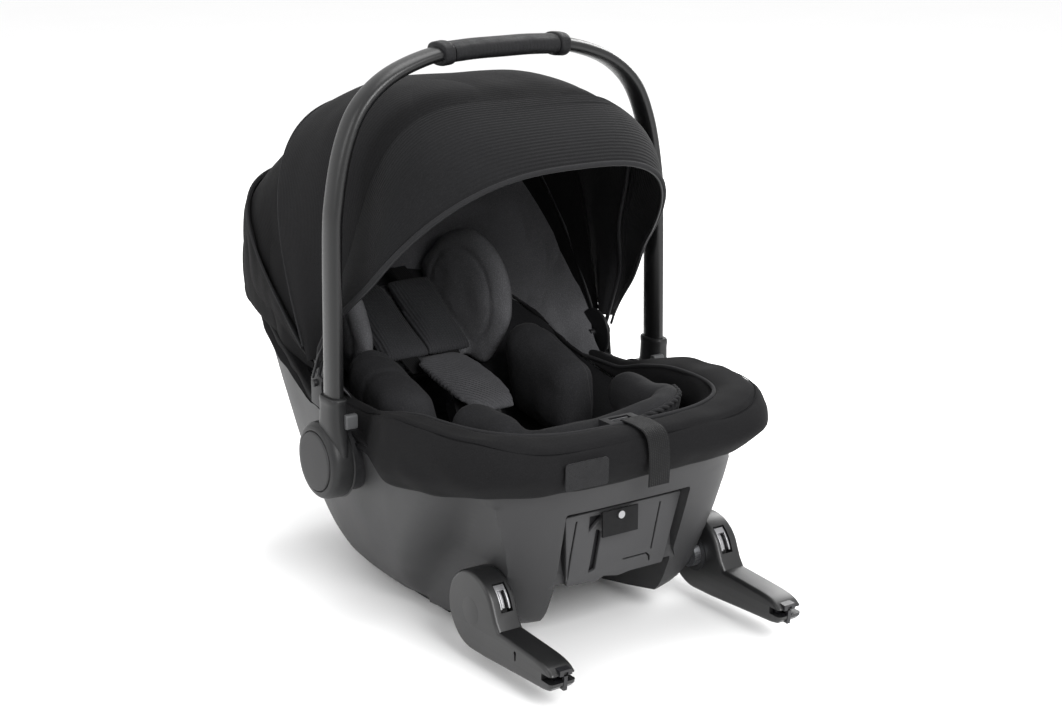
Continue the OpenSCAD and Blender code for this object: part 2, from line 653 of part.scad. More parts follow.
// Steel fork that takes the anchor bar in a slot
module arm_frame(side) color(steel) difference() {
  slab_x(side * arm_x - 7, side * arm_x + 7)
    polygon([[-240, 27], [-330, 25.8], [-354, 33], [-354, 45], [-336, 45.8], [-240, 46.5]]);
  rod_x(bar_r, -160, 160, bar_y, bar_z);
  translate([side * arm_x - 10, -360, bar_z - bar_r]) cube([20, 360 + bar_y, 2 * bar_r]);
  // Channel of the hook
  translate([side * arm_x - 2.6, -360, 20]) cube([5.2, 60, 22.5]);
}
module arm_frame_left() arm_frame(-1);
module arm_frame_right() arm_frame(1);

hook_y = -316;
hook_z = 29;

// Claw that closes the slot from below
module latch_hook(side) color(silver) {
  slab_x(side * arm_x - 2, side * arm_x + 2)
    polygon([[-312, 24.6], [-352.6, 23.5], [-354, 38.6], [-350.6, 38.6], [-348.4, 30.6], [-312, 33.4]]);
  rod_x(2.4, side * arm_x - 2.3, side * arm_x + 2.3, hook_y, hook_z);
}
module latch_hook_left() latch_hook(-1);
module latch_hook_right() latch_hook(1);

// Finger lever on the crown of the arm that opens the claw
module release_lever(side) color(silver) {
  slab_x(side * arm_x - 6, side * arm_x + 6) intersection() {
    difference() {
      translate([arm_y, arm_z]) circle(r = arm_hub_r - 2, $fn = 96);
      translate([arm_y, arm_z]) circle(r = arm_hub_r - 9, $fn = 96);
    }
    translate([-270, 50.5]) square([41, 40]);
  }
  // Pivot pin
  rod_x(2.6, side * arm_x - 6.8, side * arm_x + 6.8, -249, 54.5);
}
module release_lever_left() release_lever(-1);
module release_lever_right() release_lever(1);

// Screws that close the arm casings and the pivot brackets
module casing_screws() color(steel) both_sides() for (a = [60, 180, 300])
  translate([190, pivot_y, pivot_z]) rotate([a, 0, 0]) translate([0, 0, 22])
    rod_x(2, -4, 5.6, 0, 0);

seat_shell();
front_panel();
panel_tab();
tab_rivet();
belly_plate();
floor_rails();
foam_liner();
seat_cover();
rim_cover();
seat_cushion();
side_bolsters();
thigh_pad();
headrest_frame();
headrest_cushion();
shoulder_strap_left();
shoulder_strap_right();
shoulder_pad_left();
shoulder_pad_right();
crotch_strap();
crotch_pad();
buckle_body();
buckle_button();
adjuster_housing();
adjuster_lever();
adjuster_strap();
trim_patch();
pivot_bracket_left();
pivot_bracket_right();
pivot_bolt_left();
pivot_bolt_right();
handle_tube();
handle_grip();
grip_collars();
handle_hub_left();
handle_hub_right();
hub_cap_left();
hub_cap_right();
handle_button_left();
handle_button_right();
canopy_pins();
canopy_bow_rear();
canopy_rear_panel();
canopy_skirt();
canopy_bow_main();
canopy_main_panel();
canopy_bow_visor();
canopy_visor_panel();
arm_bearings();
arm_shaft_left();
arm_shaft_right();
arm_casing_left();
arm_casing_right();
arm_frame_left();
arm_frame_right();
latch_hook_left();
latch_hook_right();
release_lever_left();
release_lever_right();
casing_screws();
belly_screws();
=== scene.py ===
import json
import math

import bmesh
import bpy
import numpy as np
from mathutils import Matrix, Vector, noise


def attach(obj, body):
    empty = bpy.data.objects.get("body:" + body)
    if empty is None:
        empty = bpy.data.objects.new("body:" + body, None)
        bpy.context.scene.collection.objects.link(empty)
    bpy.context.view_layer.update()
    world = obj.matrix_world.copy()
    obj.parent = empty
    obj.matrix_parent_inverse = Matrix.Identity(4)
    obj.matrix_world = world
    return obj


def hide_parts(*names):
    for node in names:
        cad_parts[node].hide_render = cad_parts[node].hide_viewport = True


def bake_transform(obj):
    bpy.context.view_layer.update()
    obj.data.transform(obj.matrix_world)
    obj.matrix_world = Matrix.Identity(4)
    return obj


# An infant car seat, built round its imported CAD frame. Helpers take millimetres and write metres.
# X is across the seat, -Y the foot end, +Y the head end, +Z up.
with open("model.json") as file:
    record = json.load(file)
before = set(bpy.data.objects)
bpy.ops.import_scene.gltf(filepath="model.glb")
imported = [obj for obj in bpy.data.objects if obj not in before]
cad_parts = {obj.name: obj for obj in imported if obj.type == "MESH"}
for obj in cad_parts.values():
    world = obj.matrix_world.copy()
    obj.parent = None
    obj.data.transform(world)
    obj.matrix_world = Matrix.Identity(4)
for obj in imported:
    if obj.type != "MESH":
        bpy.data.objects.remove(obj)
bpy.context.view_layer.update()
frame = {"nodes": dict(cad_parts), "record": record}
scene = bpy.context.scene
MM = 0.001
ACROSS = np.array([1.0, 0, 0])
BOTH = (("left", -1), ("right", 1))

# ---------- camera, light and floor


def make_camera():
    cam = bpy.data.objects.new("camera", bpy.data.cameras.new("camera"))
    scene.collection.objects.link(cam)
    cam.location = (-1.1432, -1.7709, 0.8505)
    cam.rotation_euler = [math.radians(angle) for angle in (90 - 15.9, 0, -34.2)]
    cam.data.sensor_width = 36
    cam.data.lens = 67.7
    cam.data.clip_end = 50
    scene.camera = cam


def make_light(name, place, size, power):
    """Soft rectangular light that looks at the middle of the seat."""
    lamp = bpy.data.objects.new(name, bpy.data.lights.new(name, "AREA"))
    scene.collection.objects.link(lamp)
    lamp.location = place
    lamp.rotation_euler = (Vector((0, 0, 0.28)) - Vector(place)).to_track_quat("-Z", "Y").to_euler()
    lamp.data.shape = "RECTANGLE"
    lamp.data.size, lamp.data.size_y = size
    lamp.data.energy = power


def make_studio():
    scene.view_settings.view_transform = "Standard"
    world = bpy.data.worlds.new("studio")
    scene.world = world
    world.use_nodes = True
    for key, value in (("Color", (1, 1, 1, 1)), ("Strength", 1.0)):
        world.node_tree.nodes["Background"].inputs[key].default_value = value
    for light in (("key", (-0.2, -2.9, 2.0), (1.6, 1.6), 95), ("side", (-2.6, 0.3, 1.6), (0.8, 1.6), 16),
                  ("top", (0.3, 0.4, 2.9), (2.0, 2.0), 50), ("rim", (2.2, 1.2, 1.6), (0.8, 1.8), 40)):
        make_light(*light)
    mesh = bpy.data.meshes.new("floor")
    mesh.from_pydata([(-14, -14, 0), (14, -14, 0), (14, 14, 0), (-14, 14, 0)], [], [(0, 1, 2, 3)])
    floor = new_object("floor", mesh)
    mesh.materials.append(plain_floor(Nodes("floor")))


# ---------- materials


class Nodes:
    """Short words for building one material's node tree."""

    def __init__(self, name):
        self.material = bpy.data.materials.new(name)
        self.material.use_nodes = True
        self.tree = self.material.node_tree
        self.shader = self.tree.nodes["Principled BSDF"]
        self.place = self.add("ShaderNodeTexCoord").outputs["Object"]

    def add(self, kind, inputs=(), **settings):
        node = self.tree.nodes.new(kind)
        for key, value in settings.items():
            setattr(node, key, value)
        for key, value in dict(inputs).items():
            self.feed(node.inputs[key], value)
        return node

    def feed(self, socket, value):
        if isinstance(value, bpy.types.NodeSocket):
            self.tree.links.new(value, socket)
        else:
            socket.default_value = value

    def on_cloth(self):
        """Coordinates along the cloth itself."""
        return self.add("ShaderNodeUVMap", uv_map="cloth").outputs[0]

    def math(self, operation, a, b=0.0):
        return self.add("ShaderNodeMath", {0: a, 1: b}, operation=operation).outputs[0]

    def noise(self, scale, detail=3.0, rough=0.5, where=None):
        return self.add("ShaderNodeTexNoise", {"Vector": where or self.place, "Scale": scale,
                                               "Detail": detail, "Roughness": rough}).outputs["Fac"]

    def cells(self, scale, where=None, **settings):
        return self.add("ShaderNodeTexVoronoi", {"Vector": where or self.place, "Scale": scale},
                        **settings).outputs["Distance"]

    def bands(self, direction, pitch, where):
        """Ridges across a direction in the coordinates, pitch apart in mm, from 0 to 1."""
        along = self.add("ShaderNodeVectorMath", {0: where, 1: direction},
                         operation="DOT_PRODUCT").outputs["Value"]
        wave = self.math("SINE", self.math("MULTIPLY", along, 2 * math.pi / (pitch * MM)))
        return self.math("ADD", self.math("MULTIPLY", wave, 0.5), 0.5)

    def spread(self, value, low, high, old=(0.3, 0.7)):
        """value taken from the range old to the range low to high."""
        return self.add("ShaderNodeMapRange", {"Value": value, "From Min": old[0], "From Max": old[1],
                                               "To Min": low, "To Max": high}).outputs[0]

    def finish(self, tone, colour, first, last, rough, layers=(), **values):
        """The shader's inputs: the colour, times first where tone is 0 and times last where it is 1; the
        roughness; layers of relief, each a (height, strength, distance); and constants."""
        mix = self.add("ShaderNodeMix", data_type="RGBA")
        self.feed(mix.inputs[0], tone)
        for key, amount in ((6, first), (7, last)):
            self.feed(mix.inputs[key], (*[min(1.0, c * amount) for c in colour], 1))
        self.feed(self.shader.inputs["Base Color"], mix.outputs[2])
        self.feed(self.shader.inputs["Roughness"], rough)
        for key, value in values.items():
            self.shader.inputs[key.replace("_", " ")].default_value = value
        below = {}
        for height, strength, distance in layers:
            relief = self.add("ShaderNodeBump", {"Height": height, "Strength": strength,
                                                 "Distance": distance * MM, **below})
            below = {"Normal": relief.outputs["Normal"]}
        for key, normal in below.items():
            self.feed(self.shader.inputs[key], normal)
        return self.material


def fabric(m, colour, knit=1.0, sheen=0.02, ribs=None, on_cloth=False):
    """Knitted or woven cloth. ribs is (direction, pitch, depth), along the cloth if on_cloth."""
    where = m.on_cloth() if on_cloth else m.place
    loops = m.cells(1000 / knit, where)
    patches = m.noise(14, 3)
    tone = m.math("ADD", m.math("MULTIPLY", patches, 0.6), m.math("MULTIPLY", loops, 0.45))
    layers = [(m.noise(55, 3), 0.22, 1.2), (loops, 0.55, 0.25 * knit), (m.noise(2600, 2), 0.25, 0.1)]
    if ribs:
        direction, pitch, depth = ribs
        layers.insert(0, (m.bands(direction, pitch, where), 0.8, depth))
    return m.finish(m.spread(tone, 0, 1, (0.25, 0.8)), colour, 0.65, 1.35,
                    m.spread(patches, 0.82, 0.95), layers,
                    Sheen_Weight=sheen, Sheen_Roughness=0.4, Specular_IOR_Level=0.08)


def webbing(m, colour):
    """Woven strap: fine ribs across and a herringbone of threads."""
    where = m.on_cloth()
    weave = m.math("MULTIPLY", m.bands((0, 1, 0), 1.6, where), m.bands((1, 0, 0), 2.4, where))
    return m.finish(weave, colour, 0.6, 1.5, m.spread(m.noise(60), 0.6, 0.75),
                    [(weave, 0.7, 0.5), (m.noise(1800), 0.3, 0.1)],
                    Sheen_Weight=0.02, Specular_IOR_Level=0.15)


def plastic(m, colour, rough, grain, coat=0.0, specular=0.3):
    """Moulded plastic with a fine spark-eroded grain, faint flow marks and rubbed edges."""
    pits = m.cells(1300)
    clouds = m.noise(7, 4, 0.6)
    wear = m.spread(m.add("ShaderNodeNewGeometry").outputs["Pointiness"], 0, 1, (0.52, 0.62))
    worn = m.math("MULTIPLY", wear, m.spread(m.noise(60, 4), 0, 0.7))
    tone = m.spread(m.math("ADD", m.math("MULTIPLY", clouds, 0.5), worn), 0, 1, (0.1, 0.9))
    uneven = m.math("ADD", clouds, m.math("MULTIPLY", pits, 0.2))
    return m.finish(tone, colour, 0.86, 1.35, m.spread(uneven, rough - 0.06, rough + 0.08),
                    [(pits, grain, 0.12), (m.noise(300, 2), grain * 0.4, 0.15)],
                    Specular_IOR_Level=specular, Coat_Weight=coat, Coat_Roughness=0.2)


def painted(m, colour, rough):
    """Powder-coated tube: an orange-peel skin over a satin paint."""
    peel = m.noise(420, 2)
    return m.finish(m.noise(10, 3), colour, 0.88, 1.12, m.spread(peel, rough - 0.05, rough + 0.06),
                    [(peel, 0.12, 0.2), (m.noise(2400, 2), 0.2, 0.05)],
                    Metallic=0.1, Specular_IOR_Level=0.45, Coat_Weight=0.05, Coat_Roughness=0.3)


def metal(m, colour, rough):
    """Brushed steel, with the brushing along X."""
    stretch = m.add("ShaderNodeMapping", {"Vector": m.place, "Scale": (60, 1600, 1600)}).outputs[0]
    lines = m.noise(1.0, 3, where=stretch)
    return m.finish(lines, colour, 0.8, 1.1, m.spread(lines, rough - 0.08, rough + 0.12),
                    [(lines, 0.25, 0.08), (m.noise(30), 0.05, 0.3)], Metallic=1.0)


def leather(m, colour):
    """Grained wrap, with painted shade in its creases."""
    creases = m.spread(m.cells(620, feature="DISTANCE_TO_EDGE"), 0, 1, (0.0, 0.12))
    # Painted shade: the colour darkens into the grain's creases.
    return m.finish(creases, colour, 0.6, 1.25, m.spread(m.noise(90), 0.42, 0.6),
                    [(creases, 0.5, 0.25), (m.noise(200), 0.2, 0.3)], Specular_IOR_Level=0.16)


def foam_beads(m, colour):
    """Expanded foam with its beads showing, and painted shade between them."""
    beads = m.cells(260)
    # Painted shade: the colour darkens from each bead's middle towards its edges.
    return m.finish(beads, colour, 1, 0.82, m.spread(beads, 0.7, 0.9), [(beads, 0.6, 0.8)])


def plain_floor(m):
    return m.finish(m.noise(3), (1, 1, 1), 0.93, 0.95, 0.9, Specular_IOR_Level=0.1)


def make_materials():
    fine_ribs = (0, 1, 0), 3.2, 0.18
    made = {
        "shell_grey": (plastic, (0.0285, 0.0285, 0.0296), 0.5, 0.25),
        "shell_dark": (plastic, (0.04, 0.04, 0.0415), 0.5, 0.25),
        # A lighter copy of hub_plastic for the hub caps: painted light.
        "hub_cap": (plastic, (0.021, 0.021, 0.0218), 0.5, 0.25),
        "dark_plastic": (plastic, (0.009, 0.009, 0.01), 0.45, 0.2),
        "hub_plastic": (plastic, (0.0095, 0.0096, 0.0101), 0.4, 0.12),
        "arm_plastic": (plastic, (0.007, 0.0071, 0.0075), 0.34, 0.12, 0.0, 0.5),
        "button_grey": (plastic, (0.055, 0.056, 0.058), 0.4, 0.15),
        "red_plastic": (plastic, (0.55, 0.03, 0.02), 0.3, 0.05, 0.3),
        "handle_paint": (painted, (0.004, 0.0041, 0.0044), 0.36),
        "black_steel": (painted, (0.01, 0.01, 0.012), 0.35),
        "steel": (metal, (0.42, 0.43, 0.45), 0.3),
        "silver_metal": (metal, (0.34, 0.34, 0.35), 0.38),
        "leatherette": (leather, (0.008, 0.008, 0.0088)),
        "foam": (foam_beads, (0.8, 0.8, 0.78)),
        "webbing": (webbing, (0.0065, 0.0065, 0.007)),
        "cover_fabric": (fabric, (0.0078, 0.0077, 0.0082), 1.0, 0.015),
        "insert_fabric": (fabric, (0.022, 0.022, 0.0235), 1.3, 0.03),
        # A lighter copy of insert_fabric for the headrest: painted light.
        "lit_head_fabric": (fabric, (0.09, 0.09, 0.095), 1.3, 0.03),
        # A darker copy of insert_fabric for the thigh pad: painted shade.
        "shaded_thigh_fabric": (fabric, (0.0145, 0.0145, 0.0155), 1.3, 0.03),
        "ribbed_fabric": (fabric, (0.02, 0.02, 0.0215), 0.9, 0.03),
        # A lighter copy of ribbed_fabric, with its own ribs, for the shoulder pads: painted light.
        "lit_pad_ribs": (fabric, (0.032, 0.032, 0.0345), 0.9, 0.03, ((1, 0, 0), 3.6, 1.0)),
        # A far lighter copy of ribbed_fabric, with its own ribs, for the crotch pad: painted light.
        "lit_crotch_ribs": (fabric, (0.06, 0.06, 0.064), 0.9, 0.03, ((0.8, 0.6, 0), 4.0, 0.8)),
        # A lighter copy of cover_fabric for the cloth of the hollow: painted light inside the seat.
        "lit_lining_fabric": (fabric, (0.02, 0.02, 0.0215), 1.0, 0.03),
        # A much lighter copy of the lining's cloth for the wall behind the head: painted light inside the
        # canopy.
        "lit_wall_fabric": (fabric, (0.085, 0.085, 0.09), 1.0, 0.03),
        "canopy_fabric": (fabric, (0.0088, 0.0087, 0.0093), 0.8, 0.012, fine_ribs, True),
        # A darker copy of canopy_fabric for the rear panel and the hem: painted shade.
        "shaded_canopy_fabric": (fabric, (0.0048, 0.0047, 0.0051), 0.8, 0.012, fine_ribs, True),
        "visor_fabric": (fabric, (0.0095, 0.0095, 0.0101), 0.8, 0.02, ((0, 1, 0), 2.6, 0.5), True),
        "piping": (fabric, (0.017, 0.017, 0.018), 0.7, 0.04),
        "thread": (fabric, (0.006, 0.006, 0.0065), 0.5, 0.0),
    }
    return {name: kind(Nodes(name), *values) for name, (kind, *values) in made.items()}


# ---------- geometry helpers


def smooth(v, rows):
    """Smooth value at v of a table of [position, value] rows; it never overshoots the rows."""
    x, y = np.array(rows, float).T
    width, slope = np.diff(x), np.diff(y) / np.diff(x)
    a, b = slope[:-1], slope[1:]
    inner = np.where(a * b > 0, 2 * a * b / (a + b + 1e-30), 0)
    tangent = np.concatenate([slope[:1], inner, slope[-1:]])
    v = np.clip(v, x[0], x[-1])
    i = np.clip(np.searchsorted(x, v) - 1, 0, len(width) - 1)
    t = (v - x[i]) / width[i]
    return ((2 * t**3 - 3 * t**2 + 1) * y[i] + (t**3 - 2 * t**2 + t) * width[i] * tangent[i]
            + (3 * t**2 - 2 * t**3) * y[i + 1] + (t**3 - t**2) * width[i] * tangent[i + 1])


def step(v, low, high):
    t = np.clip((v - low) / (high - low), 0, 1)
    return t * t * (3 - 2 * t)


def unit(v):
    return v / (np.linalg.norm(v, axis=-1, keepdims=True) + 1e-12)


def curve_through(points, steps, closed=False):
    """Smooth curve through points, with steps parts between two of them."""
    p = list(np.array(points, float))
    line = [p[-1], *p, *p[:2]] if closed else [p[0], *p, p[-1]]
    out = []
    for a, b, c, d in zip(line, line[1:], line[2:], line[3:]):
        for s in np.arange(steps) / steps:
            out.append(0.5 * (2 * b + (c - a) * s + (2 * a - 5 * b + 4 * c - d) * s * s
                              + (3 * b - a - 3 * c + d) * s**3))
    return np.array(out if closed else [*out, p[-1]])


def new_object(name, mesh):
    piece = bpy.data.objects.new(name, mesh)
    scene.collection.objects.link(piece)
    return piece


def shade_smooth(piece, angle=35):
    mesh = piece.data
    mesh.polygons.foreach_set("use_smooth", [True] * len(mesh.polygons))
    mesh.set_sharp_from_angle(angle=math.radians(angle))


def points_of(piece):
    co = np.zeros(len(piece.data.vertices) * 3)
    piece.data.vertices.foreach_get("co", co)
    return co.reshape(-1, 3) / MM


def set_points(piece, points):
    piece.data.vertices.foreach_set("co", (np.array(points) * MM).ravel())
    piece.data.update()


def push_out(piece, points, distance):
    """Puts the piece's points at a distance from the given ones, along their normals."""
    normals = np.array([v.normal for v in piece.data.vertices])
    set_points(piece, points + normals * distance[:, None])


def wrinkle(piece, size, height, seed=0, stretch=(1, 1, 1)):
    """Low folds: each point moves along its normal by smooth noise of that size and height."""
    co = points_of(piece)
    spots = co * stretch / size + (seed, 0, 0)
    push_out(piece, co, np.array([noise.noise(Vector(q)) for q in spots]) * height)


def grid(name, rows, closed=True, wrap=False, caps=False, angle=50):
    """Mesh through rows of points, with a UV map in metres along the cloth. Closed rows are rings;
    wrap joins the last row to the first; caps close the first and the last ring with a fan."""
    rows = np.array(rows, float)
    k, m = rows.shape[:2]
    verts = rows.reshape(-1, 3).tolist()
    faces, uvs = [], []
    along = np.concatenate([[0], np.cumsum(np.linalg.norm(np.diff(rows, axis=0), axis=2).mean(1))])
    ring = np.vstack([rows.mean(0), rows.mean(0)[:1]])
    around = np.concatenate([[0], np.cumsum(np.linalg.norm(np.diff(ring, axis=0), axis=1))])
    for i in range(k if wrap else k - 1):
        after = (i + 1) % k
        v2 = along[i + 1] if i + 1 < k else along[i] + (along[i] - along[i - 1])
        for j in range(m if closed else m - 1):
            beside = (j + 1) % m
            faces.append((i * m + j, i * m + beside, after * m + beside, after * m + j))
            uvs += [(around[j], along[i]), (around[j + 1], along[i]), (around[j + 1], v2), (around[j], v2)]
    for i in (0, k - 1) if caps else ():
        verts.append(rows[i].mean(0).tolist())
        for j in range(m):
            pair = (i * m + j, i * m + (j + 1) % m)
            faces.append((len(verts) - 1, *(pair if i else pair[::-1])))
            uvs += [(0, 0), (0, 0.001), (0.001, 0)]
    mesh = bpy.data.meshes.new(name)
    mesh.from_pydata([[c * MM for c in v] for v in verts], [], faces)
    mesh.uv_layers.new(name="cloth").data.foreach_set("uv", [c * MM for uv in uvs for c in uv])
    piece = new_object(name, mesh)
    if wrap or caps:
        face_outwards(piece)
    shade_smooth(piece, angle)
    return piece


def solid(name, rows, angle=50):
    """Closed skin through rings, with a fan over each end."""
    return grid(name, rows, caps=True, angle=angle)


def face_outwards(piece, weld=0.0):
    """Turns all faces outwards, after joining the points that are closer than weld."""
    work = bmesh.new()
    work.from_mesh(piece.data)
    if weld:
        bmesh.ops.remove_doubles(work, verts=work.verts, dist=weld * MM)
    bmesh.ops.recalc_face_normals(work, faces=work.faces)
    work.to_mesh(piece.data)
    work.free()


def sweep(name, points, section, closed=False, up=(0, 0, 1), scale=None, angle=50, across=None):
    """Tube along points. section is a list of [across, up] points."""
    p = np.array(points, float)
    heading = unit(np.roll(p, -1, 0) - np.roll(p, 1, 0) if closed else np.gradient(p, axis=0))
    if across is None:
        side = unit(np.cross(heading, up))
    else:
        side = unit(across - heading * (heading @ across)[:, None])
    above = np.cross(side, heading)
    size = np.ones(len(p)) if scale is None else scale
    rows = [[p[i] + size[i] * (s[0] * side[i] + s[1] * above[i]) for s in section] for i in range(len(p))]
    return grid(name, rows, True, closed, not closed, angle)


def strap(name, points, wide, thick):
    """Flat webbing along points, with slightly rounded edges."""
    w, t = wide / 2, thick / 2
    outline = [[-w, 0], [-w + 0.5, t], [0, t], [w - 0.5, t], [w, 0], [w - 0.5, -t], [0, -t], [-w + 0.5, -t]]
    return sweep(name, curve_through(points, 8), outline, angle=40, across=ACROSS)


def oval(wide, high, count=16, power=2.0):
    a = np.arange(count) * 2 * math.pi / count
    return [[wide * np.sign(c) * abs(c) ** (2 / power), high * np.sign(s) * abs(s) ** (2 / power)]
            for c, s in zip(np.cos(a), np.sin(a))]


def add_modifier(piece, kind, **settings):
    modifier = piece.modifiers.new(kind.lower(), kind)
    for key, value in settings.items():
        setattr(modifier, key, value)
    return modifier


def final_mesh(piece):
    return bpy.data.meshes.new_from_object(piece.evaluated_get(bpy.context.evaluated_depsgraph_get()))


def apply_modifiers(piece):
    mesh = final_mesh(piece)
    piece.modifiers.clear()
    piece.data = mesh
    return piece


def rounded_path(points, radius):
    """Closed outline with its corners rounded."""
    p = [np.array(q, float) for q in points]
    out = []
    for before, corner, after in zip([p[-1], *p], p, [*p[1:], p[0]]):
        reach = min(radius, *(0.49 * np.linalg.norm(q - corner) for q in (before, after)))
        a, b = (corner + unit(q - corner) * reach for q in (before, after))
        out += [(1 - t) ** 2 * a + 2 * t * (1 - t) * corner + t * t * b for t in np.linspace(0, 1, 6)]
    return out


def arc(centre, radius, first, last, count):
    a = np.radians(np.linspace(first, last, count))
    return np.stack([centre[0] + radius * np.cos(a), centre[1] + radius * np.sin(a)], 1).tolist()


def circle_path(centre, radius, count=48):
    return arc(centre, radius, 0, 360, count + 1)[:-1]


AXES = {"x": ((0, 1, 0), (0, 0, 1), (1, 0, 0)), "y": ((1, 0, 0), (0, 0, 1), (0, -1, 0))}


def plate(name, outlines, normal, near, far, bevel=0.01, angle=35):
    """Flat plate with holes and softened edges. Outlines are in the plane across the normal, which is
    x, y or three axis vectors; near and far are its two faces along it (along -Y for y)."""
    u, v, w = (np.array(q, float) for q in (AXES[normal] if isinstance(normal, str) else normal))
    data = bpy.data.curves.new(name, "CURVE")
    data.dimensions, data.fill_mode = "2D", "BOTH"
    data.extrude = abs(far - near) / 2 - bevel
    data.bevel_depth, data.bevel_resolution = bevel, 2 if bevel < 2 else 5
    data.offset = -bevel
    for outline in outlines:
        line = data.splines.new("POLY")
        line.points.add(len(outline) - 1)
        for k, q in enumerate(outline):
            line.points[k].co = (q[0], q[1], 0, 1)
        line.use_cyclic_u = True
    flat = new_object(name, data)
    mesh = final_mesh(flat)
    bpy.data.objects.remove(flat)
    turn = Matrix([*np.column_stack([u, v, w, (near + far) / 2 * w]).tolist(), (0, 0, 0, 1)])
    mesh.transform(Matrix.Scale(MM, 4) @ turn)
    piece = new_object(name, mesh)
    face_outwards(piece, 0.01)
    shade_smooth(piece, angle)
    return piece


def cut(piece, *cutters, angle=35):
    """Takes the cutters out of the piece."""
    for cutter in cutters:
        add_modifier(piece, "BOOLEAN", operation="DIFFERENCE", object=cutter, solver="EXACT")
        apply_modifiers(piece)
        bpy.data.objects.remove(cutter)
    shade_smooth(piece, angle)
    return piece


def join(name, pieces):
    """One object of several meshes."""
    work = bmesh.new()
    for piece in pieces:
        work.from_mesh(piece.data)
        bpy.data.objects.remove(piece)
    mesh = bpy.data.meshes.new(name)
    work.to_mesh(mesh)
    work.free()
    return new_object(name, mesh)


def dress(piece, look, *stands_for, body="shell", slot=None):
    """Gives a piece its material and body, and hides the CAD nodes that it stands for. slot is not used."""
    piece.data.materials.clear()
    piece.data.materials.append(looks[look])
    if body:
        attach(piece, body)
    if stands_for:
        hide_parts(*stands_for)


looks = make_materials()
make_camera()
make_studio()

# ---------- the shell's own lines

# Rows of [y, value]: heights of the sole, the rim, the cover's crest and the hollow's floor.
SOLE = [[-290, 44], [-225, 31], [-160, 17], [-105, 7], [-70, 4], [66, 4], [100, 7], [160, 21], [220, 38],
        [300, 66], [350, 80]]
RIM = [[-290, 212], [-200, 202], [-100, 194], [-30, 202], [50, 221], [100, 243], [200, 270], [350, 290]]
CREST = [[-304, 236], [-250, 250], [-140, 246], [-80, 236], [-30, 225], [58, 226], [100, 252], [200, 283],
         [350, 303]]
SEAT = [[-270, 205], [-200, 176], [-120, 132], [-40, 104], [40, 108], [120, 150], [220, 218], [330, 282]]
# Rows of [share of the height, value]: half width, foot end, head end and squareness of the plan.
HALF_W = [[0, 104], [0.03, 117], [0.1, 134], [0.25, 150], [0.5, 168], [0.75, 180], [1, 188]]
FRONT = [[0, -216], [0.05, -224], [1, -290]]
BACK = [[0, 215], [0.05, 240], [0.15, 262], [0.3, 276], [0.6, 303], [0.85, 333], [1, 346]]
SQUARE = [[0, 7], [0.3, 5], [1, 3.6]]
# Rows of [y, value]: how low the cover reaches, how far it stands off, and how far its edge bulges.
SKIRT_AT = [[-300, 0.9], [-100, 0.885], [-84, 0.9], [-68, 0.975], [40, 0.975], [60, 0.95], [350, 0.95]]
SKIRT_OUT = [[-300, 9], [-110, 7], [-75, 2], [40, 2], [80, 4], [350, 6]]
BULGE = [[-300, 15], [-120, 12], [-80, 2], [-45, -8], [350, -9]]
LEVEL = [[0, 0], [1, 0]]
MID_Y = -20
WALL = 4
RELIEF = [[-460, 188], [-212, 188], [-132, 100], [-84, 48], [-58, 10], [-58, -60], [-460, -60]]
PIVOT = (-15, 173)


def ring(half_w, front, back, square, count=240):
    """Plan of one loop round the seat: a superellipse, squarer at the foot end."""
    a = np.arange(count) * 2 * math.pi / count
    s, c = np.sin(a), np.cos(a)
    n = np.where(c < 0, square, 2.4)
    r = (abs(s) ** n + abs(c) ** n) ** (-1 / n)
    return half_w * s * r, MID_Y + np.where(c < 0, MID_Y - front, back - MID_Y) * c * r


def inside_distance(y, z, outline):
    """Distance in from the edge of an outline; negative outside it."""
    p = np.array(outline, float)
    q = np.stack([y, z], -1)
    best = np.full(y.shape, 1e9)
    inside = np.zeros(y.shape, bool)
    for a, b in zip(p, np.roll(p, -1, 0)):
        t = np.clip(((q - a) @ (b - a)) / ((b - a) @ (b - a)), 0, 1)
        best = np.minimum(best, np.linalg.norm(q - a - t[..., None] * (b - a), axis=-1))
        if a[1] != b[1]:
            crosses = (a[1] > z) != (b[1] > z)
            inside ^= crosses & (y < a[0] + (z - a[1]) * (b[0] - a[0]) / (b[1] - a[1]))
    return np.where(inside, best, -best)


def relieve(p, inset=0.0):
    """Takes the sides in where the anchor arms turn, with a soft crease at the edge of the hollow."""
    x, y, z = p.T
    limit = 126 - inset + np.maximum(z - 100, 0) * 0.287
    amount = step(inside_distance(y, z, RELIEF), -13 - 2 * inset, 5 - 2 * inset)
    return np.stack([x - np.sign(x) * np.maximum(abs(x) - limit, 0) * amount, y, z], 1)


def shell_ring(t, out=0.0, scale=1.0, count=240, relief=True, inset=0.0):
    """Loop of the shell at a share t of its height, grown by out and scaled towards its middle."""
    x, y = ring((smooth(t, HALF_W) + out) * scale, MID_Y + (smooth(t, FRONT) - out - MID_Y) * scale,
                MID_Y + (smooth(t, BACK) + out - MID_Y) * scale, smooth(t, SQUARE), count)
    low = smooth(y, SOLE)
    p = np.stack([x, y, low + (smooth(y, RIM) - low) * t], 1)
    return relieve(p, inset) if relief else p


def inner_rings(out, scales, heights):
    """Loops inside the shell: its floor at some scales, then its walls at some heights."""
    rows = [shell_ring(heights[0], out, s, 160, True, 8) for s in scales]
    return rows + [shell_ring(t, out, 1, 160, True, 8) for t in heights]


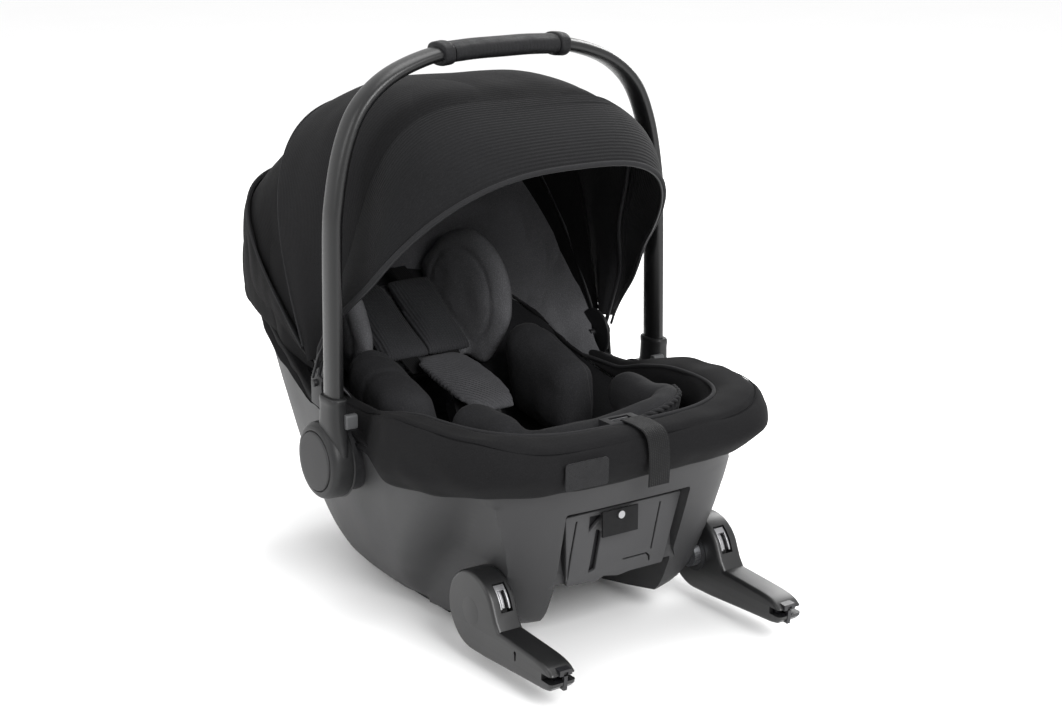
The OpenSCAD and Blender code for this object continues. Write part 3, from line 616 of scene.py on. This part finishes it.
def hollow_ring(t, out=0.0, scale=1.0, count=200):
    """Loop of the hollow that the child sits in, at a share t of its depth."""
    x, y = ring((112 + 42 * t**0.6 + out) * scale, MID_Y + (-175 - 70 * t**0.7 - out - MID_Y) * scale,
                MID_Y + (190 + 112 * t**0.8 + out - MID_Y) * scale, 3.4, count)
    low = smooth(y, SEAT)
    return np.stack([x, y, low - out + (smooth(y, RIM) + 2 + out - low) * t], 1)


def rim_ring(out, out_line, lift, line, square):
    """Loop of the cover round the rim, standing out by out and by out_line, lifted over a line."""
    o = out + smooth(ring(188, -290, 346, square)[1], out_line)
    x, y = ring(188 + o, -290 - o, 346 + o, square)
    return np.stack([x, y, lift + smooth(y, line)], 1)


def skirt_ring(spread):
    """Loop of the cover's lower edge, on the shell's side or spread away from it."""
    y = shell_ring(0.9, relief=False)[:, 1]
    t, out = smooth(y, SKIRT_AT), 0.8 + spread * smooth(y, SKIRT_OUT)
    levels = (0.8, 0.85, 0.9, 0.95, 1.0)
    rows, grown = (np.array([shell_ring(q, o, relief=False) for q in levels]) for o in (0, 1))
    at = (np.clip(t, 0.8, 1.0) - 0.8) / 0.05
    i = np.clip(at.astype(int), 0, 3)
    f = (at - i)[:, None]
    j = np.arange(len(y))
    base, push = (r[i, j] * (1 - f) + r[i + 1, j] * f for r in (rows, grown - rows))
    return base + push * out[:, None]


def even_crease(rows):
    """Evens out the points about the crease of the sides."""
    d = inside_distance(rows[..., 1], rows[..., 2], RELIEF)
    near = ((d > -26) & (d < 14) & (abs(rows[..., 0]) > 90))[1:-1, :, None]
    for _ in range(16):
        around = (np.roll(rows, 1, 1) + np.roll(rows, -1, 1))[1:-1] + rows[2:] + rows[:-2]
        rows[1:-1] = np.where(near, 0.5 * rows[1:-1] + 0.125 * around, rows[1:-1])
    return rows


def make_shell():
    """Moulded tub: hollow, with the recess at the foot end and the gap between its legs."""
    heights = np.concatenate([[0, 0.012, 0.03, 0.06, 0.1], np.linspace(0.13, 1, 72)])
    rows = [shell_ring(0, 0, s, 320) for s in (0.15, 0.5, 0.8, 0.93)]
    rows += [shell_ring(t, count=320) for t in heights]
    shell = solid("shell_body", even_crease(np.array(rows)), 40)
    inner = solid("inner", inner_rings(-WALL, (0.1, 0.5, 0.8), np.linspace(0.05, 1.1, 28)))
    cut(inner, *front_recess(WALL))
    bores = [plate("bore", [circle_path(PIVOT, 14)], "x", side * 150, side * 210) for _, side in BOTH]
    cut(shell, *front_recess(0), inner, *bores, angle=32)
    dress(shell, "shell_grey", "seat_shell")


def make_foam():
    """Foam between the shell and the lining."""
    rows = inner_rings(-6, (0.3, 0.65), np.linspace(0.36, 0.94, 16))
    rows += [hollow_ring(t, 0.2, 1, 160) for t in (1, 0.8, 0.6, 0.4, 0.2, 0)]
    rows += [hollow_ring(0, 0.2, s, 160) for s in (0.7, 0.35)]
    foam = cut(solid("foam_core", rows, 40), *front_recess(6))
    dress(foam, "foam", "foam_liner")


def front_recess(inset):
    """Recess behind the foot-end face, and the arched gap that runs back between the legs."""
    face = [[-81 - inset, 162 + inset], [74 + inset, 162 + inset], [74 + inset, 86], [82 + inset, 70],
            [102 + inset, 46], [128 + inset, 28], [128 + inset, -9], [-128 - inset, -9],
            [-128 - inset, 28], [-102 - inset, 46], [-82 - inset, 70], [-75 - inset, 86]]
    tunnel = [[-330, -5], [-330, 75 + inset], [-180 + inset, 75 + inset], [-24 + inset, 16 + inset],
              [-24 + inset, -5]]
    return (plate("cut_front", [rounded_path(face, 4)], "y", 238 - inset, 340),
            plate("cut_tunnel", [rounded_path(tunnel, 6)], "x", -73.5 - inset, 73.5 + inset))


def make_front_panel():
    """Panel in the recess: a leaning face with moulded lines and a channel for the pull tab."""
    lean = ((1, 0, 0), (0, -0.179, 0.984), (0, -0.984, -0.179))

    def on_face(*points):
        return [[x, 193.4 + (z - 150) / 0.984] for x, z in points]

    def slit(*points):
        p = np.array(on_face(*points))
        d = unit(np.gradient(p, axis=0))
        n = np.stack([-d[:, 1], d[:, 0]], 1) * 0.9
        return np.vstack([p + n, (p - n)[::-1]]).tolist()

    edge = on_face((-72.5, 153), (72.5, 153), (61, 72), (20, 72), (4, 70), (-15, 74), (-21, 69), (-36, 71),
                   (-61, 72))
    edge = rounded_path(edge, 2.5)
    holes = [slit((47, 146), (45, 118), (43.5, 92)), slit((8, 88), (38, 88), (42, 84), (43, 78)),
             slit((-58, 146), (-60, 112), (-61, 80)), on_face((-42, 148), (-41, 130), (-24, 147)),
             rounded_path(on_face((-32, 132), (-25, 128), (-27, 84), (-35, 82)), 2)]
    dress(plate("front_face", [edge, *holes], lean, 220.5, 225, 1.0), "shell_dark", "front_panel")
    # The backing is much darker plastic than the face: painted shade in the slits, the finger recess and the
    # tab's channel.
    dress(plate("front_backing", [edge], lean, 216.5, 219.5, 0.5), "dark_plastic")


# ---------- cover and lining


def make_rim_cover():
    """Padded rim of the cover, with its hem, a sunk top seam and a corded inner edge."""
    steps, top_seam, hem = 7, 3.35, 0.72
    loops = [skirt_ring(0), skirt_ring(1), rim_ring(0, BULGE, 3, RIM, 5), rim_ring(-7, BULGE, -5, CREST, 5),
             rim_ring(-19, BULGE, 0, CREST, 4.6),
             rim_ring(-34, [[-300, 8], [-60, 0], [350, -2]], -8, CREST, 4),
             rim_ring(-36, [[-300, 4], [-60, 0], [350, 0]], 5, RIM, 3.6),
             rim_ring(-8, LEVEL, 3.5, RIM, 3.6), rim_ring(1.2, LEVEL, 2.5, RIM, 3.6)]
    rows = curve_through(loops, steps, closed=True)
    inward = unit(rows.mean(0) - rows)
    place = np.arange(len(rows)) / steps
    groove = 1.6 * np.exp(-((place - top_seam) / 0.12) ** 2) + 1.2 * np.exp(-((place - hem) / 0.1) ** 2)
    rows = rows + inward * groove[:, None, None]
    cover = grid("rim_padding", rows, wrap=True, angle=60)
    wrinkle(cover, 46, 2.2, 0, (1, 1, 1.6))
    wrinkle(cover, 15, 0.7, 7, (0.6, 0.6, 1.4))
    dress(cover, "cover_fabric", "rim_cover")
    for name, row, lift, section, look in (
            ("rim_seam", int(top_seam * steps), 0.4, oval(0.7, 0.5, 6), "thread"),
            ("rim_welt", 5 * steps - 1, 0.6, oval(2.2, 2.2, 10), "piping")):
        dress(sweep(name, rows[row] - inward[row] * lift, section, closed=True), look)


def resample(points, count):
    d = np.concatenate([[0], np.cumsum(np.linalg.norm(np.diff(points, axis=0), axis=1))])
    at = np.linspace(0, d[-1], count)
    return np.stack([np.interp(at, d, points[:, k]) for k in range(3)], 1)


def make_lining():
    """Cloth of the hollow, and the lining wall that goes up behind the head into the canopy."""
    heights = np.linspace(0, 1, 18)
    rows = [hollow_ring(0, -0.6, s) for s in (0.1, 0.35, 0.7)] + [hollow_ring(t, -0.6) for t in heights]
    back = [hollow_ring(t, -3.5) for t in heights[::-1]] + [hollow_ring(0, -3.5, s) for s in (0.7, 0.35, 0.1)]
    cover = solid("hollow_lining", rows + back, 60)
    wrinkle(cover, 60, 1.4, 3)
    # The hollow's cloth takes a lighter copy of the cover fabric: painted light inside the seat.
    dress(cover, "lit_lining_fabric", "seat_cover", slot="cover_fabric")

    count, start_y = 120, -42
    low = hollow_ring(1.0, -2.0, 1.0, 400)
    low = low[low[:, 1] > start_y]
    low = resample(low[np.argsort(np.arctan2(low[:, 0], low[:, 1] - start_y))], count)
    span = np.linspace(-1, 1, count)
    high = dome_row(49, 26, np.sign(span) * abs(span) ** 0.85, out=-9)
    rows = [low * (1 - s) + high * s + (0, 17 * math.sin(math.pi * s), 0) for s in np.linspace(0, 1, 26)]
    thick = [p - (0, 3, 0) for p in rows[::-1]]
    wall = grid("head_lining", rows + thick, closed=False, wrap=True, angle=60)
    wrinkle(wall, 70, 3.0, 11)
    wrinkle(wall, 24, 0.9, 5, (1, 1, 0.5))
    # The wall takes a much lighter copy of the lining's cloth: painted light inside the canopy.
    dress(wall, "lit_wall_fabric")


# ---------- canopy

FOLD = (38, 240)
# Rows of [angle about the fold, value]: half width, reach and squareness of the canopy's hoops.
DOME_W = [[8, 172], [32, 185], [50, 189], [70, 192], [90, 184], [113, 170], [131, 178]]
DOME_R = [[8, 320], [32, 319], [50, 315], [70, 313], [90, 314], [113, 314], [131, 322]]
DOME_N = [[8, 3.8], [32, 4.2], [50, 3.5], [70, 3.1], [90, 3.8], [113, 4.6], [131, 2.9]]
DOME_FOOT = [[33, 178], [60, 180], [104, 182], [117, 195.5]]


def dome_row(angle, least, spans, out=0.0):
    """Points of the canopy at one angle (or one angle a point) about its fold. spans runs from -1 to 1,
    from the hinge on one side to the other; least is how near the hinge it stops."""
    angle = angle + np.zeros(len(spans))
    w, far, n = smooth(angle, DOME_W) + out, smooth(angle, DOME_R) + out, smooth(angle, DOME_N)
    a = spans * math.atan2(170, least)
    s, c = np.sin(a), np.cos(a)
    r = ((abs(s) / w) ** n + (abs(c) / far) ** n) ** (-1 / n)
    reach, across = c * r, abs(s) * r
    beside = np.maximum(across, smooth(angle, DOME_FOOT) + out * 0.3)
    across = np.sign(s) * (across + (beside - across) * (1 - step(reach, 70, 165)))
    turn = np.radians(angle)
    return np.stack([across, FOLD[0] + reach * np.cos(turn), FOLD[1] + reach * np.sin(turn)], 1)


def cloth_shell(name, rows, thick):
    """Sheet of cloth with its real thickness towards the inside."""
    piece = grid(name, rows, closed=False, angle=60)
    face_outwards(piece)
    face = piece.data.polygons[len(piece.data.polygons) // 2]
    if (np.array(face.center) / MM - (0, *FOLD)) @ np.array(face.normal) < 0:
        piece.data.flip_normals()
    add_modifier(piece, "SOLIDIFY", thickness=thick * MM, offset=-1.0)
    apply_modifiers(piece)
    shade_smooth(piece, 60)
    return piece


def make_hinges():
    """Round hinge covers of the canopy on their clips, over the pins."""
    tab = arc(FOLD, 28, -42, 222, 50) + [[20, 219], [24, 214], [50, 216], [56, 219]]
    clip = [[27, 240], *arc(FOLD, 11.8, 170, 10, 16), [50, 216], [24, 212]]
    for hand, side in BOTH:
        for name, outline, near, far, bevel in (("cover", tab, 174, 177.4, 0.8),
                                                ("pin", circle_path(FOLD, 4), 168, 194, 0.6),
                                                ("clip", clip, 186.8, 189.8, 0.5)):
            part = plate(f"hinge_{name}_{hand}", [outline], "x", side * near, side * far, bevel)
            dress(part, "dark_plastic", *(["canopy_pins"] if side > 0 and name == "clip" else []))


def make_canopy():
    """Hem, rear and main panels, the visor, and the bows and cords that they are held by."""
    spans = np.linspace(-1, 1, 141)

    def strip(first, last, count, least, out, sag):
        return [dome_row(first + (last - first) * s, least, spans, out - sag * math.sin(math.pi * s))
                for s in np.linspace(0, 1, count)]

    skirt = strip(10, 36.5, 20, 30, -2.0, 1.5)
    rear = strip(33.3, 79, 30, 24, -5.5, 2.5)
    main = strip(61.5, 113 + 4 * spans**6, 44, 22, 2.2, 4.0)
    # The rear panel and the hem take a darker copy of the canopy fabric: painted shade.
    for name, rows, thick, folds, look, node, held, rests_on in (
            ("canopy_rear", rear, 1.8, ((90, 4.0, 1), (34, 1.4, 9, (1, 1, 0.6))), "shaded_canopy_fabric",
             "canopy_rear_panel", "stretched", ["bow_rear"]),
            ("canopy_hem", skirt, 1.8, ((60, 3.0, 4), (20, 1.4, 2, (0.8, 0.8, 0.4))), "shaded_canopy_fabric",
             "canopy_skirt", "hung", ["rim_padding"]),
            ("canopy_main", main, 2.0, ((110, 3.2, 6), (40, 0.8, 8, (1, 1, 0.7))), "canopy_fabric",
             "canopy_main_panel", "stretched", ["bow_rear", "bow_main"])):
        cover = cloth_shell(name, rows, thick)
        for fold in folds:
            wrinkle(cover, *fold)
        turns = name == "canopy_main"
        dress(cover, look, node, body=None if turns else "shell", slot="canopy_fabric")
        if turns:
            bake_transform(cover)
    for name, line, lift in (("canopy_pleat", skirt[-1], 0.9), ("canopy_rear_seam", main[0], 0.2)):
        away = unit(line - (0, *FOLD))
        cord = sweep(name, line[4:-4] + away[4:-4] * lift, oval(1.5, 1.5, 10))
        dress(cord, "piping", slot="canopy_fabric")

    edge = 112 + 19 * (1 - abs(spans) ** 3)
    rows = [dome_row(109 + (edge - 109) * s, 24, spans, 3.4 + 3.0 * math.sin(math.pi * s) ** 0.8)
            for s in np.linspace(0, 1, 24)]
    visor = cloth_shell("visor_panel", rows, 2.2)
    wrinkle(visor, 80, 2.0, 13)
    dress(visor, "visor_fabric", "canopy_visor_panel", body="visor", slot="canopy_fabric")
    bow_spans = np.linspace(-1, 1, 121)
    bow_line = 118 + (edge - 118) * np.minimum(1, 1.6 * (1 - spans**6))
    for name, line, radius, sides, body, look, *node in (
            ("bow_rear", dome_row(60, 9, bow_spans, -8.2), 2.4, 12, "shell", "dark_plastic",
             "canopy_bow_rear"),
            ("bow_main", dome_row(112, 9, bow_spans, -3.2), 2.4, 12, "main_bow", "dark_plastic",
             "canopy_bow_main"),
            ("visor_piping", rows[-1][2:-2], 2.6, 12, "visor", "piping"),
            ("visor_bow", dome_row(bow_line, 9, spans, 1.2), 1.6, 10, "visor", "dark_plastic",
             "canopy_bow_visor"),
            ("visor_seam", dome_row(113, 50, spans, 3.4)[3:-3], 1.6, 10, "visor", "thread")):
        rod = sweep(name, line, oval(radius, radius, sides))
        dress(rod, look, *node, body=body, slot=None if node else "canopy_fabric")


# ---------- carry handle

HANDLE = [[207.5, 215], [206.6, 270], [204, 404], [200, 450], [189, 500], [170, 540], [137, 568], [90, 585],
          [45, 589.5], [0, 590]]
HANDLE_Y = -32
TUBE_WIDE, TUBE_DEEP = 15, 30


def handle_line(steps=14):
    left = [[-x, z] for x, z in HANDLE]
    flat = curve_through([*left, *HANDLE[-2::-1]], steps)
    return np.array([[x, HANDLE_Y, z] for x, z in flat])


def handle_sleeve(name, line, extra, power=2.4, scale=None):
    """Tube or sleeve along the handle, wider than the tube by extra."""
    section = oval((TUBE_WIDE + extra) / 2, (TUBE_DEEP + extra) / 2, 40, power)
    return sweep(name, line, section, up=(0, 1, 0), scale=scale)


def make_handle():
    tube = handle_sleeve("carry_tube", handle_line(), 0, 2.3)
    dress(tube, "handle_paint", "handle_tube", body="carry_handle")
    dense = handle_line(40)
    grip = dense[abs(dense[:, 0]) <= 64.5]
    pad = handle_sleeve("grip_wrap", grip, 6, scale=1 + 0.004 * np.cos(np.linspace(-1, 1, len(grip)) * 90))
    dress(pad, "leatherette", "handle_grip", body="carry_handle")
    rings = []
    for _, side in BOTH:
        part = dense[(dense[:, 0] * side > 64.4) & (dense[:, 0] * side < 78)]
        rings.append(handle_sleeve("ring", part, 10, scale=1 - 0.1 * abs(np.linspace(-1, 1, len(part))) ** 8))
    dress(join("grip_rings", rings), "leatherette", "grip_collars", body="carry_handle")
    for hand, side in BOTH:
        make_hub(hand, side)


def make_hub(hand, side):
    """Pivot housing: a dished disc, a neck that flares into it and a rounded lip round the tube."""

    def turned(name, profile):
        """Round part about the pivot, from a profile of [radius, distance from the middle]."""
        rows = [[[side * x, *q] for q in circle_path(PIVOT, r, 96)] for r, x in curve_through(profile, 3)]
        return solid(name, rows, 35)

    disc = turned("disc", [[3, 197.2], [39.5, 197.2], [41.2, 198.5], [41.6, 203], [41.5, 212], [40.6, 217],
                           [38, 220.4], [35, 221.6], [33.2, 221.9], [32.4, 221.2], [32.2, 219.6], [3, 219.6]])
    # Sections of the neck: height, place along Y, half its depth, and its two faces.
    sections = [[165, -17, 30, 199, 215], [178, -18, 36, 198.4, 216], [188, -21, 34, 198, 217],
                [198, -26, 27, 197.6, 217.6], [208, -29.5, 22, 197.4, 218], [220, -31.5, 19, 197.6, 218.2],
                [236, -32, 18.2, 197.8, 218], [241, -32, 18.6, 197.6, 218.4], [244.5, -32, 18.4, 197.8, 218],
                [246, -32, 17.2, 199, 217]]
    rows = [[[side * ((x0 + x1) / 2 + v), y + u, z] for u, v in oval(half, (x1 - x0) / 2, 48, 2.9)]
            for z, y, half, x0, x1 in curve_through(sections, 4)]
    hub = join(f"hub_{hand}", [disc, solid("neck", rows)])
    shade_smooth(hub, 40)
    dress(hub, "hub_plastic", f"handle_hub_{hand}", body="carry_handle")
    cap = turned(f"cap_{hand}", [[0.1, 219.8], [31.2, 219.8], [31.6, 220.6], [31.4, 222.6], [29, 223.4],
                                      [12, 223.7], [0.1, 223.8]])
    # The cap takes the lighter copy of hub_plastic: painted light.
    dress(cap, "hub_cap", f"hub_cap_{hand}", body="carry_handle", slot="hub_plastic")
    shape = rounded_path([[-55.2, 214], [-47.2, 214], [-47.2, 230], [-55.2, 230]], 3.4)
    button = plate(f"button_{hand}", [shape], "x", side * 191.6, side * 205.4, 1.4)
    dress(button, "button_grey", f"handle_button_{hand}", body=f"{hand}_handle_button")


# ---------- anchor arms

ARM_X = -140
ARM_HUB = (-212, 59)


def make_arm(hand, side):
    """Anchor arm: a round crown on the shaft, a long fore part and a slotted jaw for the anchor bar.
    It is shaped for the left, and mirrored if it belongs on the right."""

    def block(outline, low, high, bevel=0.01, name="block"):
        return plate(name, [outline], "x", ARM_X + low, ARM_X + high, bevel)

    def finish(piece, look, *node, body="arm"):
        if side > 0:
            set_points(piece, points_of(piece) * (-1, 1, 1))
            piece.data.flip_normals()
        dress(piece, look, *node, body=f"{hand}_{body}")

    nose = curve_through([[-262, 53.5], [-300, 51.5], [-328, 49.6], [-343, 46.4], [-351.5, 41.6]], 6).tolist()
    lip = [[-353.5, 36], [-352.5, 29], [-347, 24], [-338, 22.4], [-300, 20.6], [-262, 18.6], [-240, 17.4]]
    outline = arc(ARM_HUB, 42, -90, 150, 60) + [[-256, 62], *nose, *lip]
    casing = block(outline, -17, 13, 4.2, f"arm_{hand}")
    cut(casing, block(arc(ARM_HUB, 46, 124, 166, 12) + arc(ARM_HUB, 31, 172, 128, 12), -7, 7),
        block([[-362, 32.4], [-337, 32.4], [-337, 39.7], [-362, 39.7]], -30, 30),
        block([[-346, 26], [-250, 24.8], [-250, 46.8], [-330, 46.2], [-346, 44]], -7.6, 7.6),
        block([[-345, 10], [-306, 10], [-306, 30], [-345, 30]], -2.6, 2.6),
        block(arc((-292, 43), 2.2, 0, 330, 12), -22, -15.4),
        block([[-293.6, 43], [-290.4, 43], [-291, 35], [-293, 35]], -22, -15.4),
        block(circle_path(ARM_HUB, 14.05), -30, 30))
    finish(casing, "arm_plastic", f"arm_casing_{hand}")
    finish(block(circle_path(ARM_HUB, 14.6, 64), -17.1, -14.4, 0.5, f"arm_cap_{hand}"), "arm_plastic")
    leaf = arc(ARM_HUB, 40.6, 127, 163, 14) + arc(ARM_HUB, 33, 163, 127, 14)
    parts = [block(leaf, off - 1.1, off + 1.1, 0.5) for off in (-4.8, 4.8)]
    parts.append(block(arc(ARM_HUB, 40.6, 127, 136, 8) + arc(ARM_HUB, 35, 136, 127, 8), -5, 5, 0.6))
    parts.append(block(arc(ARM_HUB, 37, 134, 162, 8) + arc(ARM_HUB, 35.2, 162, 134, 8), -1.6, 1.6, 0.4))
    parts.append(block(circle_path((-249, 54.5), 2.6, 24), -6.8, 6.8, 0.3))
    lever = join(f"lever_{hand}", parts)
    shade_smooth(lever)
    finish(lever, "silver_metal", f"release_lever_{hand}", body="lever")


# ---------- padding

SIM_FRAMES = 20
# The backrest leans: along it and out of it, as shares of Y and Z from a point at its foot.
BACK_FOOT = (96, 148)
LEAN_COS, LEAN_SIN = 0.829, 0.559


def even_out(piece, rounds):
    """One even skin over whatever the piece is made of."""
    face_outwards(piece)
    add_modifier(piece, "REMESH", mode="VOXEL", voxel_size=0.0046)
    apply_modifiers(piece)
    add_modifier(piece, "SMOOTH", factor=0.5, iterations=rounds)
    return apply_modifiers(piece)


def pad_from(name, node):
    """Copy of a CAD pad as one even mesh, ready to be puffed up as cloth."""
    source = frame["nodes"][node]
    mesh = source.data.copy()
    mesh.transform(source.matrix_world)
    mesh.materials.clear()
    return even_out(new_object(name, mesh), 6)


def gather(piece, distance, depth=2.6, width=2.6):
    """Pulls the pad in along its seams and holds it there. distance gives how far each point is from one."""
    co = points_of(piece)
    off = distance(co)
    push_out(piece, co, -depth * np.exp(-(off / width) ** 2))
    held = piece.vertex_groups.new(name="seam")
    held.add(np.nonzero(off < 2.4)[0].tolist(), 1.0, "REPLACE")


def puff(pieces, most=6.0):
    """Blows the pads up together as cloth. No point moves more than most."""
    before = [points_of(piece) for piece in pieces]
    for piece in pieces:
        cloth = add_modifier(piece, "CLOTH")
        settings = cloth.settings
        settings.quality, settings.mass = 5, 0.3
        settings.tension_stiffness = settings.compression_stiffness = 12
        settings.shear_stiffness, settings.bending_stiffness = 6, 0.4
        settings.use_pressure, settings.uniform_pressure_force = True, 4.0
        settings.effector_weights.gravity = 0
        cloth.collision_settings.use_collision = False
        cloth.point_cache.frame_start, cloth.point_cache.frame_end = 1, SIM_FRAMES
        if "seam" in piece.vertex_groups:
            settings.vertex_group_mass = "seam"
    for number in range(1, SIM_FRAMES + 1):
        scene.frame_set(number)
    for piece in pieces:
        apply_modifiers(piece)
    scene.frame_set(1)
    for piece, was in zip(pieces, before):
        move = points_of(piece) - was
        far = np.linalg.norm(move, axis=1)
        set_points(piece, was + move * np.minimum(1, most / np.maximum(far, 1e-6))[:, None])
        add_modifier(piece, "SUBSURF", levels=1, render_levels=1)
        apply_modifiers(piece)
        shade_smooth(piece, 80)


def lines_apart(direction, places, offset=(0, 0, 0)):
    """Distance from the nearest of some planes across a direction, at those places along it."""
    def distance(co):
        along = (co - offset) @ unit(np.array(direction, float))
        return np.min([abs(along - q) for q in places], axis=0)
    return distance


def pillow(name, outline, u, v, origin, thick, rim=0.5):
    """Stuffed shape over an outline in the plane of u and v, thick at its middle."""
    p = curve_through(outline, 6, closed=True)
    w = unit(np.cross(u, v))
    middle = p.mean(0)
    rows = []
    for face in (1, -1):
        for s in np.sin(np.linspace(0.05, math.pi / 2, 12))[::face]:
            q = middle + (p - middle) * s
            rows.append(origin + q[:, :1] * u + q[:, 1:] * v + face * thick / 2 * (1 - s**4) ** rim * w)
    return solid(name, rows)


def head_seams(co):
    """Distance from the seams round the wings' faces and across the back of the headrest."""
    y, z = co[:, 1] - BACK_FOOT[0], co[:, 2] - BACK_FOOT[1]
    up, out = y * LEAN_COS + z * LEAN_SIN - 122, z * LEAN_COS - y * LEAN_SIN - 14
    inward = ((up - 10) / 82) ** 2 + ((out - 46) / 66) ** 2
    return np.where(out > 18, abs(np.sqrt(inward) - 0.74) * 70, abs(abs(co[:, 0]) - 40))


def head_pillows():
    """Headrest: a quilted back and two upright wings."""
    up = np.array([0, LEAN_COS, LEAN_SIN])

    out = np.array([0, -LEAN_SIN, LEAN_COS])

    def on_back(across, along, off):
        return (across, *BACK_FOOT) + up * along + out * off

    back = [[-62, -52], [0, -58], [62, -52], [72, 0], [66, 58], [0, 74], [-66, 58], [-72, 0]]
    parts = [pillow("back", back, ACROSS, up, on_back(0, 122, 22), 26)]
    wing = [[-66, 0], [-74, 34], [-66, 76], [-34, 104], [10, 114], [56, 104], [86, 72], [96, 34], [88, 0],
            [0, -8]]
    for _, side in BOTH:
        lean = out * 0.98 + (side * 0.2, 0, 0)
        parts.append(pillow("wing", wing, up, lean, on_back(side * 79, 124, 16), 31))
    return even_out(join("headrest_pad", parts), 10)


def shoulder_sleeve(hand, side):
    """Padded sleeve over the strap, wider than the strap, with a rounded lower end."""
    along = np.array([side * 0.05, 0.864, 0.503])
    outline = [[-25, -64], [-31, -54], [-31, 50], [-24, 60], [24, 60], [29, 50], [29, -54], [23, -64]]
    place = (side * 31, 172, 254)
    return even_out(pillow(f"shoulder_sleeve_{hand}", outline, ACROSS, along, place, 17, 0.35), 5)


def make_pads():
    bolsters = pad_from("hip_bolsters", "side_bolsters")
    thigh = pad_from("thigh_cushion", "thigh_pad")
    path = curve_through([[-96, -176, 216], [-66, -203, 218], [-20, -217, 222], [24, -223, 227],
                          [66, -219, 232], [98, -197, 233], [114, -168, 230]], 6)
    roll = sweep("roll", path, oval(15, 12, 20), scale=[0.6, *np.ones(len(path) - 2), 0.7])
    thigh = even_out(join("thigh_cushion", [thigh, roll]), 5)
    head = head_pillows()
    crotch = pad_from("crotch_cushion", "crotch_pad")
    left, right = (shoulder_sleeve(*names) for names in BOTH)
    seat = pad_from("seat_padding", "seat_cushion")
    rolls = lines_apart((0.45, 1, 0.2), (-22, 14, 50), (0, 10, 200))
    gather(bolsters, lambda co: np.where(co[:, 0] < 0, rolls(co), lines_apart((1, 0, 0), (118,))(co)))
    gather(thigh, lines_apart((0, 1, 0.3), (-132, 500), (0, 0, 60)), 1.5)
    gather(head, head_seams, 2.0)
    gather(crotch, lambda co: abs(abs(co[:, 0]) - 27), 1.4, 1.8)
    gather(seat, lambda co: np.minimum(abs(abs(co[:, 0]) - 52), lines_apart((0, 1, 0), (-60, 20, 100))(co)))
    puff([bolsters, thigh, head, crotch, left, right, seat])
    for folds in ((bolsters, 30, 1.6, 2), (thigh, 36, 1.8, 5), (head, 32, 1.4, 8), (seat, 30, 1.2, 9)):
        wrinkle(*folds)
    for pad, look, node, body, slot, fill in (
            (bolsters, "insert_fabric", "side_bolsters", "shell", "insert_fabric", 0.8),
            # thigh pad: a darker copy of insert_fabric, painted shade
            (thigh, "shaded_thigh_fabric", "thigh_pad", "shell", "insert_fabric", 0.6),
            # headrest: a lighter copy of insert_fabric, painted light
            (head, "lit_head_fabric", "headrest_cushion", "headrest", "insert_fabric", 0.7),
            # crotch pad: a far lighter copy of ribbed_fabric, painted light
            (crotch, "lit_crotch_ribs", "crotch_pad", "shell", "ribbed_fabric", 0.6),
            # shoulder pads: a lighter copy of ribbed_fabric, painted light
            (left, "lit_pad_ribs", "shoulder_pad_left", "shell", "ribbed_fabric", 0.6),
            (right, "lit_pad_ribs", "shoulder_pad_right", "shell", "ribbed_fabric", 0.6),
            (seat, "cover_fabric", "seat_cushion", "shell", "cover_fabric", 0.5)):
        dress(pad, look, node, body=body, slot=slot)


def make_thigh_welt():
    """Twisted cord along the front edge of the thigh pad."""
    path = curve_through([[-90, -190, 222], [-62, -213, 223], [-20, -229, 227], [24, -236, 232],
                          [66, -234, 238], [102, -213, 240], [122, -178, 237]], 24)
    a = np.arange(len(path)) * 0.55
    offset = np.stack([0 * a, 1.5 * np.cos(a), 1.5 * np.sin(a)], 1)
    welt = join("thigh_welt", [sweep("strand", path + side * offset, oval(2.0, 2.0, 8)) for side in (1, -1)])
    shade_smooth(welt, 60)
    dress(welt, "piping", slot="insert_fabric")


def make_harness():
    for name, side in BOTH:
        line = [[side * 33, 245, 295], [side * 34, 225, 284], [side * 31, 174, 254], [side * 28, 122, 224],
                [side * 25, 98, 210]]
        dress(strap(f"harness_{name}", line, 22, 1.6), "webbing", f"shoulder_strap_{name}")
    band = strap("buckle_strap", [[0, -41, 112], [0, -22, 134], [0, 0, 160]], 34, 1.8)
    dress(band, "webbing", "crotch_strap")
    line = [[2, -262, 245.5], [2, -282, 246], [2, -300, 243], [2, -308, 233], [2, -310, 212], [2, -309, 189]]
    dress(strap("adjuster_webbing", line, 26, 1.6), "webbing", "adjuster_strap")


def finish_cad_parts():
    """Materials by slot, and softened edges, on the CAD parts that stay in view."""
    by_node = {part["node"]: part["material_slot"] for part in frame["record"]["subparts"]}
    hard = "dark_plastic shell_dark arm_plastic steel black_steel silver_metal red_plastic".split()
    for node, piece in frame["nodes"].items():
        dark = "latch_hook" in node or node == "adjuster_lever"
        piece.data.materials.clear()
        piece.data.materials.append(looks["black_steel" if dark else by_node[node]])
        if by_node[node] in hard:
            add_modifier(piece, "BEVEL", width=0.0005, segments=2, limit_method="ANGLE")


finish_cad_parts()
make_shell()
make_foam()
make_front_panel()
make_rim_cover()
make_lining()
make_hinges()
make_canopy()
make_handle()
for hand, side in BOTH:
    make_arm(hand, side)
make_pads()
make_thigh_welt()
make_harness()
